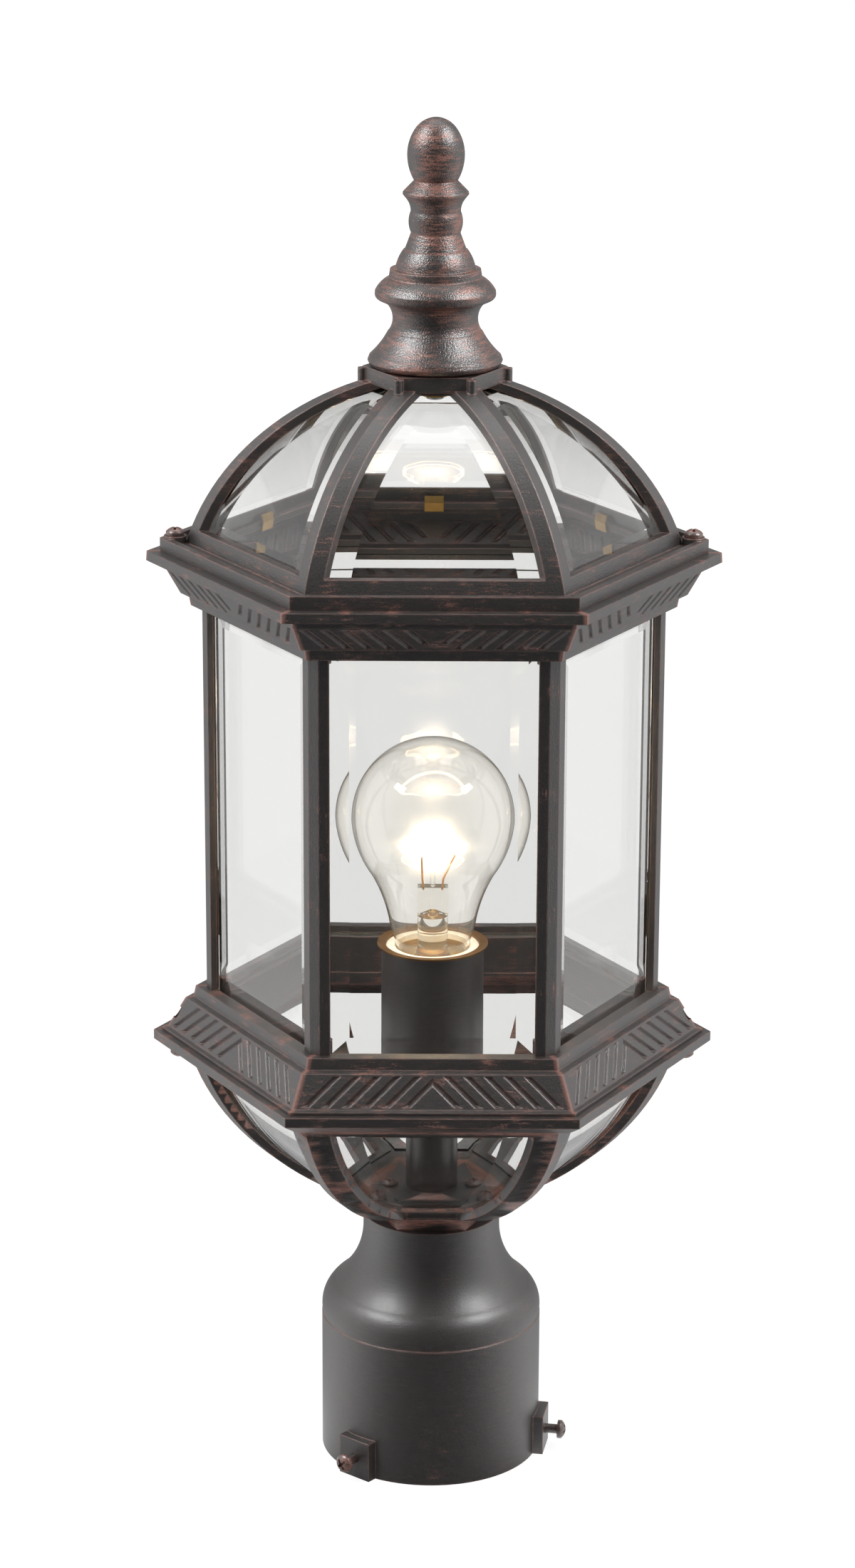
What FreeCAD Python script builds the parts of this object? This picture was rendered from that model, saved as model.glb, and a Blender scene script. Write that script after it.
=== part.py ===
import FreeCAD, Part
import math
import os

import Sketcher
from FreeCAD import Placement, Rotation, Vector

# Post top lantern, millimetres. The origin is the middle of the fitter's lower rim, where the
# lantern meets its post. +Z is up. The hexagon has corners on the X axis, so one flat side
# faces -Y. Sections of the hexagonal castings are drawn as (distance from the axis to the
# middle of a flat side, height) and swept round a hexagon with mitred corners.

SIZES = [
    ("running_gap", 0.15, "clearance between pieces that slide or seat in each other"),
    # fitter, which slips over the post
    ("post_bore_radius", 38.7, "bore for a 3 inch post"),
    ("fitter_wall", 1.9, "wall of the straight skirt"),
    ("skirt_height", 53.0, "straight part of the fitter"),
    ("shoulder_height", 12.3, "from the skirt up to the end of the shoulder's curve"),
    ("shoulder_inset", 5.0, "how far that end lies inside the skirt"),
    ("bell_height", 23.7, "hollow curve from the shoulder to the neck"),
    ("neck_radius", 25.2, "outside of the neck"),
    ("neck_height", 4.3, "straight neck over the curve"),
    ("fitter_top_wall", 4.0, "thickness of the neck's closed top"),
    ("screw_pad_height", 15.0, "height of a clamp screw's pad"),
    ("screw_pad_width", 14.0, "width of a clamp screw's pad"),
    ("screw_pad_out", 3.2, "how far a pad stands out of the skirt"),
    ("clamp_screw_height", 7.5, "height of the clamp screws' axes"),
    ("clamp_screw_turn", 230.0, "direction of the first clamp screw, degrees"),
    ("clamp_screw_shank", 1.75, "radius of a clamp screw"),
    ("clamp_screw_head", 3.4, "radius of a clamp screw's head"),
    ("clamp_head_depth", 2.9, "thickness of a clamp screw's head"),
    ("clamp_screw_out", 4.7, "bare shank between pad and head at rest"),
    # bowl
    ("pan_thickness", 7.7, "hexagonal plate on the neck"),
    ("pan_corner_radius", 25.0, "corner radius of that plate"),
    ("casting_wall", 3.0, "thickness of the curved castings"),
    ("bowl_height", 62.7, "from the pan's underside to the flange's"),
    ("bowl_foot_rise", 3.7, "where the bend meets the pan, over the pan's underside"),
    ("bowl_bend_radius", 80.4, "outside bend of the bowl's sides"),
    ("bowl_rib_half", 7.1, "half the width of a bowl rib"),
    ("bowl_window_start", 18.2, "plan distance from the pan's side to the window"),
    ("bowl_window_head", 4.2, "from the window up to the flange"),
    ("flange_apothem", 88.2, "reach of the cage's flanges at a flat side"),
    ("bowl_top_inset", 11.15, "from the flange's edge in to the top of the bend"),
    ("bowl_flange_inset", 5.8, "from the flange's edge in to the end of its slope"),
    ("bowl_flange_slope", 3.9, "height of the sloping underside of the flange"),
    ("bowl_flange_edge", 3.5, "upright edge of the flange"),
    ("bowl_rebate", 2.3, "height of the rebate that takes the bowl glass"),
    ("bowl_glass_start", 4.4, "plan distance from the pan's side to the bowl glass"),
    ("glass_margin", 1.2, "space between a bent pane and its corner plane"),
    ("bowl_screw_inset", 9.3, "from the flange's corner in to a bowl screw"),
    ("bowl_screw_length", 12.0, "length of a bowl screw under its head"),
    ("pan_screw_reach", 15.5, "distance from the axis to a pan screw"),
    ("pan_screw_shank", 1.75, "radius of a pan screw"),
    ("pan_screw_head", 3.3, "radius of a pan screw's head"),
    ("pan_head_depth", 2.2, "thickness of a pan screw's head"),
    ("pan_screw_length", 11.0, "length of a pan screw under its head"),
    # gallery
    ("gallery_height", 17.1, "from the joint to the top of the gallery"),
    ("gallery_step_out", 1.9, "how far the rounded step stands out under the ornament"),
    ("gallery_step_height", 1.1, "height of that step"),
    ("gallery_foot_inset", 4.5, "from the flange's edge in to the foot of the sloping face"),
    ("gallery_face_lean", 5.7, "how far the sloping face leans in"),
    ("gallery_face_rise", 12.5, "height of the face's head above the joint"),
    ("gallery_band_out", 0.8, "flare of the upper band at its foot"),
    ("band_inset", 13.5, "from the flange's edge in to the bands that the posts meet"),
    ("ledge_depth", 2.6, "how deep the side glass stands in the gallery"),
    ("ledge_inset", 10.7, "from the band in to the ledge's inner edge"),
    ("lug_radius", 2.2, "round lug that keeps a pane's edge in its corner"),
    ("lug_height", 6.2, "height of that lug over the ledge"),
    # chevron ornament on the gallery and the frieze
    ("panel_border", 0.7, "plain edge above and below the ornament, along the face"),
    ("bar_pitch", 7.0, "step from bar to bar along the side"),
    ("first_bar", 7.7, "from the middle to the first groove where it stands furthest out"),
    ("groove_width", 3.0, "width of a groove along the side"),
    ("groove_depth", 1.0, "depth of the grooves"),
    # posts and side glass
    ("post_length", 143.1, "free length of the posts"),
    ("post_inset", 4.15, "from the band's corner in to a post's outer face"),
    ("post_face", 4.1, "width of a post's outer face"),
    ("post_flank", 3.7, "width of a post's two flanks"),
    ("post_flange", 2.5, "thickness of a flank, in front of the glass"),
    ("post_web", 0.9, "half the thickness of the web between the panes"),
    ("post_web_depth", 4.3, "depth of that web behind the post's face"),
    ("glass_thickness", 3.0, "side, roof and bowl glass"),
    ("pane_margin", 2.5, "space between a side pane and its corner plane"),
    ("bevel_width", 8.3, "width of the bevel round a pane"),
    ("bevel_depth", 1.6, "glass taken away at the bevel's edge"),
    # frieze under the eave
    ("frieze_height", 19.8, "from the posts' top to the eave"),
    ("frieze_band_height", 3.8, "plain band over the posts"),
    ("frieze_foot_out", 3.1, "from the band out to the foot of the sloping face"),
    ("frieze_lean", 4.4, "how far the sloping face leans out"),
    ("frieze_foot_height", 4.4, "height of the face's foot above the posts"),
    ("frieze_rise", 8.9, "height of the face's head above its foot"),
    ("eave_thickness", 3.5, "thickness of the eave's flange"),
    ("mouth_inset", 10.9, "from the flange's edge in to its inner edge"),
    ("glass_top_cover", 2.6, "how far the side glass reaches above the posts"),
    # roof
    ("rim_inset", 4.3, "from the eave's edge in to the roof's rim"),
    ("rim_height", 4.8, "height of the roof's rim"),
    ("rim_lip", 2.6, "width of the lip at the rim's edge"),
    ("rim_groove", 1.8, "depth of the groove behind the lip"),
    ("roof_foot_inset", 8.0, "from the rim's edge in to the foot of the bend"),
    ("roof_bend_radius", 86.9, "outside bend of the roof's sides"),
    ("roof_head_drop", 3.6, "where the bend meets the crown, below the crown's top"),
    ("roof_ledge_inset", 15.3, "from the rim's edge in to the ledge's inner edge"),
    ("roof_ledge_thickness", 2.5, "thickness of the ledge that carries the roof glass"),
    ("roof_rib_half", 5.0, "half the width of a roof rib"),
    ("roof_window_sill", 8.2, "window's lower edge above the eave"),
    ("roof_glass_tuck", 1.9, "how far the roof glass reaches in under the crown's side"),
    ("crown_height", 66.6, "top of the crown plate above the eave"),
    ("crown_thickness", 5.5, "thickness of the crown plate"),
    ("crown_corner_radius", 25.3, "corner radius of the crown plate"),
    ("pillar_radius", 1.7, "rounded pillar at each corner of the crown"),
    ("pillar_height", 7.0, "length of those pillars"),
    ("roof_screw_inset", 10.4, "from the eave's corner in to a roof screw"),
    ("roof_boss_radius", 4.0, "boss under a roof screw's head"),
    ("roof_boss_height", 5.7, "top of that boss above the eave"),
    ("roof_screw_shank", 1.75, "radius of a roof screw"),
    ("roof_screw_head", 3.3, "radius of a roof screw's head"),
    ("roof_head_depth", 2.9, "thickness of a roof screw's head"),
    ("roof_screw_length", 11.4, "length of a roof screw under its head"),
    ("clip_thickness", 0.6, "brass strip of a glass clip"),
    ("clip_width", 7.0, "width of a glass clip"),
    ("clip_foot", 3.5, "length of the clip's foot under the ledge"),
    ("clip_height", 5.2, "height of the clip over the eave"),
    # finial
    ("finial_foot_radius", 23.6, "widest part of the finial's foot"),
    ("finial_foot_height", 12.2, "flared foot"),
    ("finial_waist_radius", 14.9, "slimmest part of the waist"),
    ("finial_waist_height", 10.2, "hollow waist over the foot"),
    ("finial_flare_radius", 21.1, "widest part of the finial's middle"),
    ("finial_flare_height", 8.9, "flare over the waist"),
    ("finial_tier_radius", 16.2, "lowest of the tiers on the flare"),
    ("finial_tiers_height", 15.4, "tiers over the flare"),
    ("finial_neck_radius", 8.6, "narrow places above and below the bead"),
    ("finial_bead_height", 7.4, "round bead over the tiers"),
    ("finial_collar_radius", 11.5, "collar under the egg"),
    ("finial_collar_height", 10.6, "hollow, collar and slope under the egg"),
    ("egg_radius", 9.95, "radius of the egg on top"),
    ("egg_height", 21.7, "height of the egg"),
    ("stud_radius", 3.0, "threaded stud in the finial"),
    ("stud_engagement", 15.0, "length of stud inside the finial"),
    ("stud_nut_flats", 10.0, "width of the stud's nut across its flats"),
    ("stud_nut_height", 4.0, "height of that nut"),
    ("washer_radius", 7.5, "washer under the crown plate"),
    ("washer_thickness", 0.8, "thickness of that washer"),
    # lamp holder
    ("nipple_radius", 4.85, "threaded tube that ties fitter, bowl and lamp holder"),
    ("nipple_wall", 1.45, "wall of that tube"),
    ("nipple_nut_flats", 15.0, "width of the tube's lock nuts across their flats"),
    ("nipple_nut_height", 4.0, "height of those nuts"),
    ("nipple_engagement", 7.0, "length of tube inside the ceramic body"),
    ("stem_radius", 9.5, "tube between bowl and lamp holder"),
    ("stem_wall", 1.2, "wall of that tube"),
    ("stem_length", 33.0, "length of that tube"),
    ("sleeve_height", 63.0, "height of the lamp holder's sleeve"),
    ("sleeve_wall", 1.0, "wall of the sleeve"),
    ("sleeve_slack", 0.7, "space between the sleeve and the ceramic body"),
    ("socket_wall", 3.1, "wall of the ceramic body round the screw shell"),
    ("rim_flare", 1.5, "how far the brass rim stands out over the sleeve"),
    ("socket_depth", 32.0, "depth of the hole for the bulb's cap"),
    ("cap_radius", 13.1, "screw cap of the bulb"),
    ("cap_length", 24.0, "length of that cap"),
    ("shell_wall", 0.4, "wall of the brass screw shell"),
    # bulb
    ("bulb_radius", 29.4, "widest part of the bulb"),
    ("bulb_neck_radius", 15.6, "glass neck over the cap"),
    ("bulb_wall", 0.8, "wall of the bulb"),
    ("bulb_neck_height", 12.0, "from the cap up to the start of the bulb's swell"),
    ("bulb_swell_height", 38.9, "from there up to the widest part"),
    ("contact_radius", 5.0, "radius of the lamp's centre contact"),
    ("mount_radius", 5.5, "glass tube that carries the filament"),
    ("filament_radius", 12.0, "bend of the filament"),
    ("filament_drop", 10.0, "from the bulb's widest part down to the filament"),
    ("wire_radius", 0.4, "lead wires inside the bulb"),
]

doc = FreeCAD.newDocument("post_top_lantern")
sheet = doc.addObject("Spreadsheet::Sheet", "sizes")
for row, (alias, number, meaning) in enumerate(SIZES, 1):
    sheet.set("A%d" % row, alias)
    sheet.set("B%d" % row, str(number))
    sheet.set("C%d" % row, meaning)
    sheet.setAlias("B%d" % row, alias)
doc.recompute()


class Size:
    """A length with the spreadsheet formula that gives it, so that one sum states both."""

    def __init__(self, value, formula=None):
        self.value = float(value)
        self.formula = formula if formula else "%.6g" % value

    def joined(self, other, sign, value):
        return Size(value, "(%s %s %s)" % (self.formula, sign, other.formula))

    def __add__(self, other):
        other = as_size(other)
        return self.joined(other, "+", self.value + other.value)

    def __sub__(self, other):
        other = as_size(other)
        return self.joined(other, "-", self.value - other.value)

    def __mul__(self, other):
        other = as_size(other)
        return self.joined(other, "*", self.value * other.value)

    def __truediv__(self, other):
        other = as_size(other)
        return self.joined(other, "/", self.value / other.value)

    def __radd__(self, other):
        return as_size(other) + self

    def __rsub__(self, other):
        return as_size(other) - self

    def __rmul__(self, other):
        return as_size(other) * self

    def __neg__(self):
        return as_size(0) - self

    def root(self):
        return Size(math.sqrt(self.value), "sqrt(%s)" % self.formula)


def as_size(number):
    return number if isinstance(number, Size) else Size(number)


def size(alias):
    return Size(sheet.get(alias), "sizes.%s" % alias)


def derived(alias, total, meaning):
    """Keeps a sum of sizes under a name of its own."""
    levels.addProperty("App::PropertyFloat", alias, "Derived", meaning)
    levels.setExpression(alias, total.formula)
    return Size(total.value, "levels.%s" % alias)


SIDES = 6
SIDE_TURN = 360.0 / SIDES
HALF_SIDE = Size(math.tan(math.radians(SIDE_TURN / 2)), "tan(%g)" % (SIDE_TURN / 2))
FLAT_OVER_CORNER = Size(math.cos(math.radians(SIDE_TURN / 2)), "cos(%g)" % (SIDE_TURN / 2))
parts = {}
levels = doc.addObject("App::VarSet", "levels")


# ---------------------------------------------------------------- drawing helpers

def origin_plane(body, role):
    return next(item for item in body.Origin.OriginFeatures if item.Role == role)


def new_body(name):
    body = doc.addObject("PartDesign::Body", name)
    body.Label = name
    parts[name] = body
    return body


def bend(radius, side):
    """Marks the next side of an outline as an arc that bulges to its left (+1) or right (-1)."""
    return ("bend", as_size(radius), side)


def circle(radius, across=0, up=0):
    """A whole circle among a sketch's outlines."""
    return ("circle", as_size(radius), (as_size(across), as_size(up)))


def arc_between(start, end, radius, side):
    """An anticlockwise arc, which is how a sketch keeps it, through both points."""
    chord = end - start
    half = chord.Length / 2
    across = Vector(-chord.y, chord.x, 0).normalize() * side
    reach = math.sqrt(max(radius * radius - half * half, 0.0))
    centre = (start + end) * 0.5 - across * reach
    from_end, to_end = (end, start) if side > 0 else (start, end)
    low = math.atan2(from_end.y - centre.y, from_end.x - centre.x)
    high = math.atan2(to_end.y - centre.y, to_end.x - centre.x)
    if high <= low:
        high += 2 * math.pi
    return Part.ArcOfCircle(Part.Circle(centre, Vector(0, 0, 1), radius), low, high)


def read_outline(outline):
    """Splits an outline into its corners and the bends that follow some of them."""
    corners = []
    bends = {}
    for item in outline:
        if item[0] == "bend":
            bends[len(corners) - 1] = item
        else:
            corners.append((as_size(item[0]), as_size(item[1])))
    return corners, bends


def draw(sketch, outlines, closed=True):
    """Draws outlines of (across, up) sizes and ties every corner and bend to the sheet."""
    geometry = []
    rules = []
    formulas = []

    def rule(kind, place, measure):
        formulas.append((len(rules), measure.formula))
        rules.append(Sketcher.Constraint(kind, *place, measure.value))

    def pin(side, end, corner):
        rule("DistanceX", (side, end), corner[0])
        rule("DistanceY", (side, end), corner[1])

    for outline in outlines:
        if outline[0] == "circle":
            radius, centre = outline[1:]
            middle = Vector(centre[0].value, centre[1].value, 0)
            geometry.append(Part.Circle(middle, Vector(0, 0, 1), radius.value))
            rule("Radius", (len(geometry) - 1,), radius)
            pin(len(geometry) - 1, 3, centre)
            continue
        corners, bends = read_outline(outline)
        points = [Vector(across.value, up.value, 0) for across, up in corners]
        first = len(geometry)
        count = len(points) if closed else len(points) - 1
        ends = []
        for index in range(count):
            start = points[index]
            end = points[(index + 1) % len(points)]
            if index in bends:
                geometry.append(arc_between(start, end, bends[index][1].value, bends[index][2]))
                ends.append((2, 1) if bends[index][2] > 0 else (1, 2))
            else:
                geometry.append(Part.LineSegment(start, end))
                ends.append((1, 2))
        for index in range(count):
            following = (index + 1) % count
            pin(first + index, ends[index][0], corners[index])
            if closed or following:
                rules.append(Sketcher.Constraint("Coincident", first + index, ends[index][1],
                                                 first + following, ends[following][0]))
            if index in bends:
                rule("Radius", (first + index,), bends[index][1])
        if not closed:
            pin(first + count - 1, ends[-1][1], corners[-1])
    sketch.addGeometry(geometry, False)
    sketch.addConstraint(rules)
    for number, formula in formulas:
        sketch.setExpression("Constraints[%d]" % number, formula)


def sketch_on(body, name, role, outlines, height=None, closed=True):
    sketch = body.newObject("Sketcher::SketchObject", name)
    sketch.AttachmentSupport = (origin_plane(body, role), "")
    sketch.MapMode = "FlatFace"
    if height is not None:
        height = as_size(height)
        sketch.AttachmentOffset = Placement(Vector(0, 0, height.value), Rotation())
        sketch.setExpression("AttachmentOffset.Base.z", height.formula)
    draw(sketch, outlines, closed)
    return sketch


def pad(body, sketch, length, both_ways=False, downward=False):
    feature = body.newObject("PartDesign::Pad", sketch.Name + "_pad")
    feature.Profile = sketch
    feature.Length = as_size(length).value
    feature.setExpression("Length", as_size(length).formula)
    feature.Midplane = both_ways
    feature.Reversed = downward
    body.Tip = feature
    return feature


def pocket(body, sketch, depth, both_ways=False, upward=False):
    feature = body.newObject("PartDesign::Pocket", sketch.Name + "_pocket")
    feature.Profile = sketch
    feature.Length = as_size(depth).value
    feature.setExpression("Length", as_size(depth).formula)
    feature.Midplane = both_ways
    feature.Reversed = upward
    body.Tip = feature
    return feature


def round_the_axis(body, features):
    """Repeats features on every side of the hexagon."""
    pattern = body.newObject("PartDesign::PolarPattern", body.Name + "_round_%d" % len(body.Group))
    pattern.Originals = features
    pattern.Axis = (origin_plane(body, "Z_Axis"), [""])
    pattern.Angle = 360
    pattern.Occurrences = SIDES
    body.Tip = pattern
    return pattern


def turned(name, outline):
    """A turned piece: its section of (radius, height) revolved round the axis."""
    body = new_body(name)
    section = sketch_on(body, name + "_section", "XZ_Plane", [outline])
    feature = body.newObject("PartDesign::Revolution", name + "_turned")
    feature.Profile = section
    feature.ReferenceAxis = (section, ["V_Axis"])
    feature.Angle = 360
    body.Tip = feature
    return body


def hexagon(corner_radius, first_turn=0.0):
    corners = []
    for side in range(SIDES):
        angle = first_turn + side * SIDE_TURN
        across = Size(math.cos(math.radians(angle)), "cos(%.6g)" % angle)
        up = Size(math.sin(math.radians(angle)), "sin(%.6g)" % angle)
        corners.append((corner_radius * across, corner_radius * up))
    return corners


def swept_round(body, outline, path_apothem):
    """Sweeps a section of (distance to a flat side, height) round the hexagon, mitred."""
    section = sketch_on(body, body.Name + "_section", "YZ_Plane", [outline])
    corners = hexagon(path_apothem / FLAT_OVER_CORNER)
    middle = ((corners[1][0] + corners[2][0]) / 2, (corners[1][1] + corners[2][1]) / 2)
    route = [middle] + corners[2:] + corners[:2] + [middle]
    path = sketch_on(body, body.Name + "_path", "XY_Plane", [route], closed=False)
    doc.recompute()
    sweep = body.newObject("PartDesign::AdditivePipe", body.Name + "_sweep")
    sweep.Profile = section
    sweep.Spine = (path, ["Edge%d" % (number + 1) for number in range(len(route) - 1)])
    sweep.Transition = "Right corner"
    body.Tip = sweep
    return sweep


def sector(inner, outer, margin):
    """Plan of one side's share of the hexagon at -Y, kept clear of its two corner planes."""
    def half(apothem):
        return apothem * HALF_SIDE - margin / FLAT_OVER_CORNER
    return [(-half(inner), -inner), (-half(outer), -outer), (half(outer), -outer),
            (half(inner), -inner)]


def bend_centre(name, start, end, radius, side):
    """Centre of the bend through two points of a section, as (reach, height) on the sheet."""
    run, climb = end[0] - start[0], end[1] - start[1]
    length = run * run + climb * climb
    away = (radius * radius / length - 0.25).root() * side
    return (derived(name + "_centre_reach", (start[0] + end[0]) / 2 + climb * away,
                    "distance from the axis to the centre of the bend"),
            derived(name + "_centre_height", (start[1] + end[1]) / 2 - run * away,
                    "height of that centre"))


def bend_reach(radius, centre, height):
    """Distance from the axis to a bent side at some height."""
    rise = height - centre[1]
    return centre[0] + (radius * radius - rise * rise).root()


def bend_rise(radius, centre, reach, sign):
    """Height of a bent side at some distance from the axis."""
    run = reach - centre[0]
    return centre[1] + (radius * radius - run * run).root() * sign


def turn_in_plan(body, degrees):
    body.Placement = Placement(Vector(), Rotation(Vector(0, 0, 1), degrees))


def polar(reach, across, degrees, formula=None):
    """Plan point at a distance along a direction and a distance to its left."""
    formula = formula if formula else "%g" % degrees
    cosine = Size(math.cos(math.radians(degrees)), "cos(%s)" % formula)
    sine = Size(math.sin(math.radians(degrees)), "sin(%s)" % formula)
    return (reach * cosine - across * sine, reach * sine + across * cosine)


def rod(name, radius, length, placement):
    """A plain cylinder, used to drill holes."""
    cylinder = doc.addObject("Part::Cylinder", name)
    cylinder.setExpression("Radius", as_size(radius).formula)
    cylinder.setExpression("Height", as_size(length).formula)
    cylinder.Placement = placement
    return cylinder


def cut(name, base, tools):
    """The base less its tools, as the part of that name."""
    base.Label = name + "_blank"
    if len(tools) > 1:
        tool = doc.addObject("Part::Compound", name + "_tools")
        tool.Links = tools
    else:
        tool = tools[0]
    result = doc.addObject("Part::Cut", name)
    result.Base = base
    result.Tool = tool
    result.Label = name
    parts[name] = result
    return result


def group(name, members):
    """Identical small pieces kept together as one part of separate solids."""
    bundle = doc.addObject("Part::Compound", name)
    bundle.Links = members
    bundle.Label = name
    for member in members:
        parts.pop(member.Label, None)
    parts[name] = bundle
    return bundle


# ---------------------------------------------------------------- levels and shared sizes

gap = size("running_gap")
wall = size("casting_wall")
glass = size("glass_thickness")
flange = size("flange_apothem")
fitter_radius = size("post_bore_radius") + size("fitter_wall")
shoulder_top = size("skirt_height") + size("shoulder_height")
pad_face = fitter_radius + size("screw_pad_out")
neck_start = shoulder_top + size("bell_height")
fitter_top = derived("fitter_top", neck_start + size("neck_height"), "top of the neck")
pan_reach = size("pan_corner_radius") * FLAT_OVER_CORNER
pan_top = fitter_top + size("pan_thickness")
bowl_flange_bottom = fitter_top + size("bowl_height")
joint_level = derived("joint_level",
                      bowl_flange_bottom + size("bowl_flange_slope") + size("bowl_flange_edge"),
                      "joint between bowl and gallery")
gallery_top = joint_level + size("gallery_height")
pane_bottom = gallery_top - size("ledge_depth")
posts_top = derived("posts_top", gallery_top + size("post_length"), "top of the posts")
pane_top = posts_top + size("glass_top_cover")
eave = derived("eave_level", posts_top + size("frieze_height"), "joint between frieze and roof")
crown_top = eave + size("crown_height")
crown_bottom = crown_top - size("crown_thickness")
band = flange - size("band_inset")
ledge_inner = band - size("ledge_inset")
post_reach = band / FLAT_OVER_CORNER - size("post_inset")
pane_outer = derived("pane_outer", post_reach * FLAT_OVER_CORNER + size("post_face") / 4
                     - size("post_flange") - gap, "outer face of the side glass")
band_inner = pane_outer + gap * 2
rim = flange - size("rim_inset")
crown_reach = size("crown_corner_radius") * FLAT_OVER_CORNER
roof_ledge = rim - size("roof_ledge_inset")
roof_screw_circle = flange / FLAT_OVER_CORNER - size("roof_screw_inset")
bowl_screw_circle = flange / FLAT_OVER_CORNER - size("bowl_screw_inset")
sleeve_bottom = derived("sleeve_bottom", pan_top + size("stem_length"),
                        "underside of the lamp holder")
sleeve_top = sleeve_bottom + size("sleeve_height")
shell_radius = size("cap_radius") + gap * 2
socket_hole = shell_radius + size("shell_wall")
socket_radius = socket_hole + size("socket_wall")
sleeve_radius = socket_radius + size("sleeve_slack") + size("sleeve_wall")
nipple_hole = size("nipple_radius") + gap
CONTACT_RISE = 1.3
CAP_FOOT = 3.0
PRESS_HEIGHT = 9.0
FILAMENT_ENDS = (-48.0, 250.0)
FILAMENT_SUPPORTS = (10.0, 70.0, 130.0, 190.0)
bulb_seat = sleeve_top - size("socket_depth") + CONTACT_RISE + gap * 2
cap_top = derived("cap_top", bulb_seat + CAP_FOOT + size("cap_length"),
                  "top of the bulb's cap")
mount_foot = cap_top - 6
bulb_wide_level = derived("bulb_wide_level",
                          cap_top + size("bulb_neck_height") + size("bulb_swell_height"),
                          "height of the bulb's widest part")
filament_level = derived("filament_level", bulb_wide_level - size("filament_drop"),
                         "height of the filament")

BOWL_TOP = (flange - size("bowl_top_inset"), bowl_flange_bottom)
BOWL_FOOT = (pan_reach - wall, fitter_top + size("bowl_foot_rise"))
BOWL_BEND = bend_centre("bowl", BOWL_TOP, BOWL_FOOT, size("bowl_bend_radius"), 1)
ROOF_FOOT = (rim - size("roof_foot_inset"), eave + size("rim_height") - size("rim_groove"))
ROOF_HEAD = (crown_reach - wall * 1.2, crown_top - size("roof_head_drop"))
ROOF_BEND = bend_centre("roof", ROOF_FOOT, ROOF_HEAD, size("roof_bend_radius"), -1)
doc.recompute()


# ---------------------------------------------------------------- screws and nuts

def cross_slot(body, head_top, reach, width, depth):
    """Cross recess in a screw's head."""
    long, short = as_size(reach), as_size(width) / 2
    outline = [(short, short), (short, long), (-short, long), (-short, short),
               (-long, short), (-long, -short), (-short, -short), (-short, -long),
               (short, -long), (short, -short), (long, -short), (long, short)]
    clear = 0.3
    recess = sketch_on(body, body.Name + "_cross", "XY_Plane", [outline], height=head_top + clear)
    pocket(body, recess, depth + clear)


def round_head_screw(name, shank, head, depth, length, placement):
    """Screw with its head's underside at height 0 and its shank below."""
    crown = depth * 0.45
    body = turned(name, [(0, -length), (shank * 0.7, -length), (shank, 0.6 - length), (shank, 0),
                         (head, 0), (head, crown), bend(head * 1.25, -1), (head * 0.1, depth),
                         (0, depth)])
    cross_slot(body, depth, head * 0.62, head * 0.28, depth * 0.6)
    body.Placement = placement
    return body


def hex_nut(name, flats, bore, bottom, height):
    """Hexagonal nut on the axis."""
    body = new_body(name)
    outline = sketch_on(body, name + "_plan", "XY_Plane", [hexagon(flats / FLAT_OVER_CORNER)],
                        height=bottom)
    pad(body, outline, height)
    opening = sketch_on(body, name + "_bore", "XY_Plane", [circle(bore)], height=bottom)
    pocket(body, opening, height, upward=True)
    return body


# ---------------------------------------------------------------- fitter and its screws

CLAMP_SCREWS = 3


def clamp_direction(number):
    turn = 360.0 / CLAMP_SCREWS * number
    return size("clamp_screw_turn").value + turn, "sizes.clamp_screw_turn + %g" % turn


def make_fitter():
    """Skirt that slips over the post, bell-shaped shoulder, neck and three screw pads."""
    bore = size("post_bore_radius")
    skirt = size("skirt_height")
    neck = size("neck_radius")
    shoulder = fitter_radius - size("shoulder_inset")
    ceiling = fitter_top - size("fitter_top_wall")
    body = turned("post_fitter", [
        (bore, 0), (fitter_radius, 0), (fitter_radius, skirt), (fitter_radius - 0.3, skirt + 0.4),
        bend(11.5, -1), (shoulder, shoulder_top), bend(30, 1), (neck, neck_start),
        (neck, fitter_top), (nipple_hole, fitter_top), (nipple_hole, ceiling),
        (neck - wall, ceiling), (neck - wall, neck_start - wall),
        bend(30, -1), (shoulder - wall, shoulder_top - wall), (bore, skirt - 1)])
    half = size("screw_pad_width") / 2
    for number in range(CLAMP_SCREWS):
        direction = clamp_direction(number)
        plan = [polar(reach, across, *direction) for reach, across in (
            (bore + 0.5, -half), (pad_face, -half),
            (pad_face, half), (bore + 0.5, half))]
        sketch = sketch_on(body, "screw_pad_%d" % (number + 1), "XY_Plane", [plan])
        pad(body, sketch, size("screw_pad_height"))
    holes = []
    for number in range(CLAMP_SCREWS):
        hole = rod("clamp_hole_%d" % (number + 1), size("clamp_screw_shank") + gap / 3,
                   pad_face, radial(number, 0))
        holes.append(hole)
    for number in range(2):
        side = 1 - 2 * number
        place = Vector(side * size("pan_screw_reach").value, 0, fitter_top.value - 8)
        holes.append(rod("neck_hole_%d" % (number + 1), size("pan_screw_shank") + gap / 3, 9,
                         Placement(place, Rotation())))
    return cut("post_fitter", body, holes)


def radial(number, reach):
    """Placement whose Z axis runs outwards along a clamp screw."""
    angle = math.radians(clamp_direction(number)[0])
    outwards = Vector(math.cos(angle), math.sin(angle), 0)
    lift = Vector(0, 0, size("clamp_screw_height").value)
    return Placement(outwards * as_size(reach).value + lift, Rotation(Vector(0, 0, 1), outwards))


def make_clamp_screws():
    under_head = pad_face + size("clamp_screw_out")
    length = under_head - size("post_bore_radius") - gap * 2
    for number in range(CLAMP_SCREWS):
        round_head_screw("clamp_screw_%d" % (number + 1), size("clamp_screw_shank"),
                         size("clamp_screw_head"), size("clamp_head_depth"), length,
                         radial(number, under_head))


# ---------------------------------------------------------------- bowl

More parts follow.
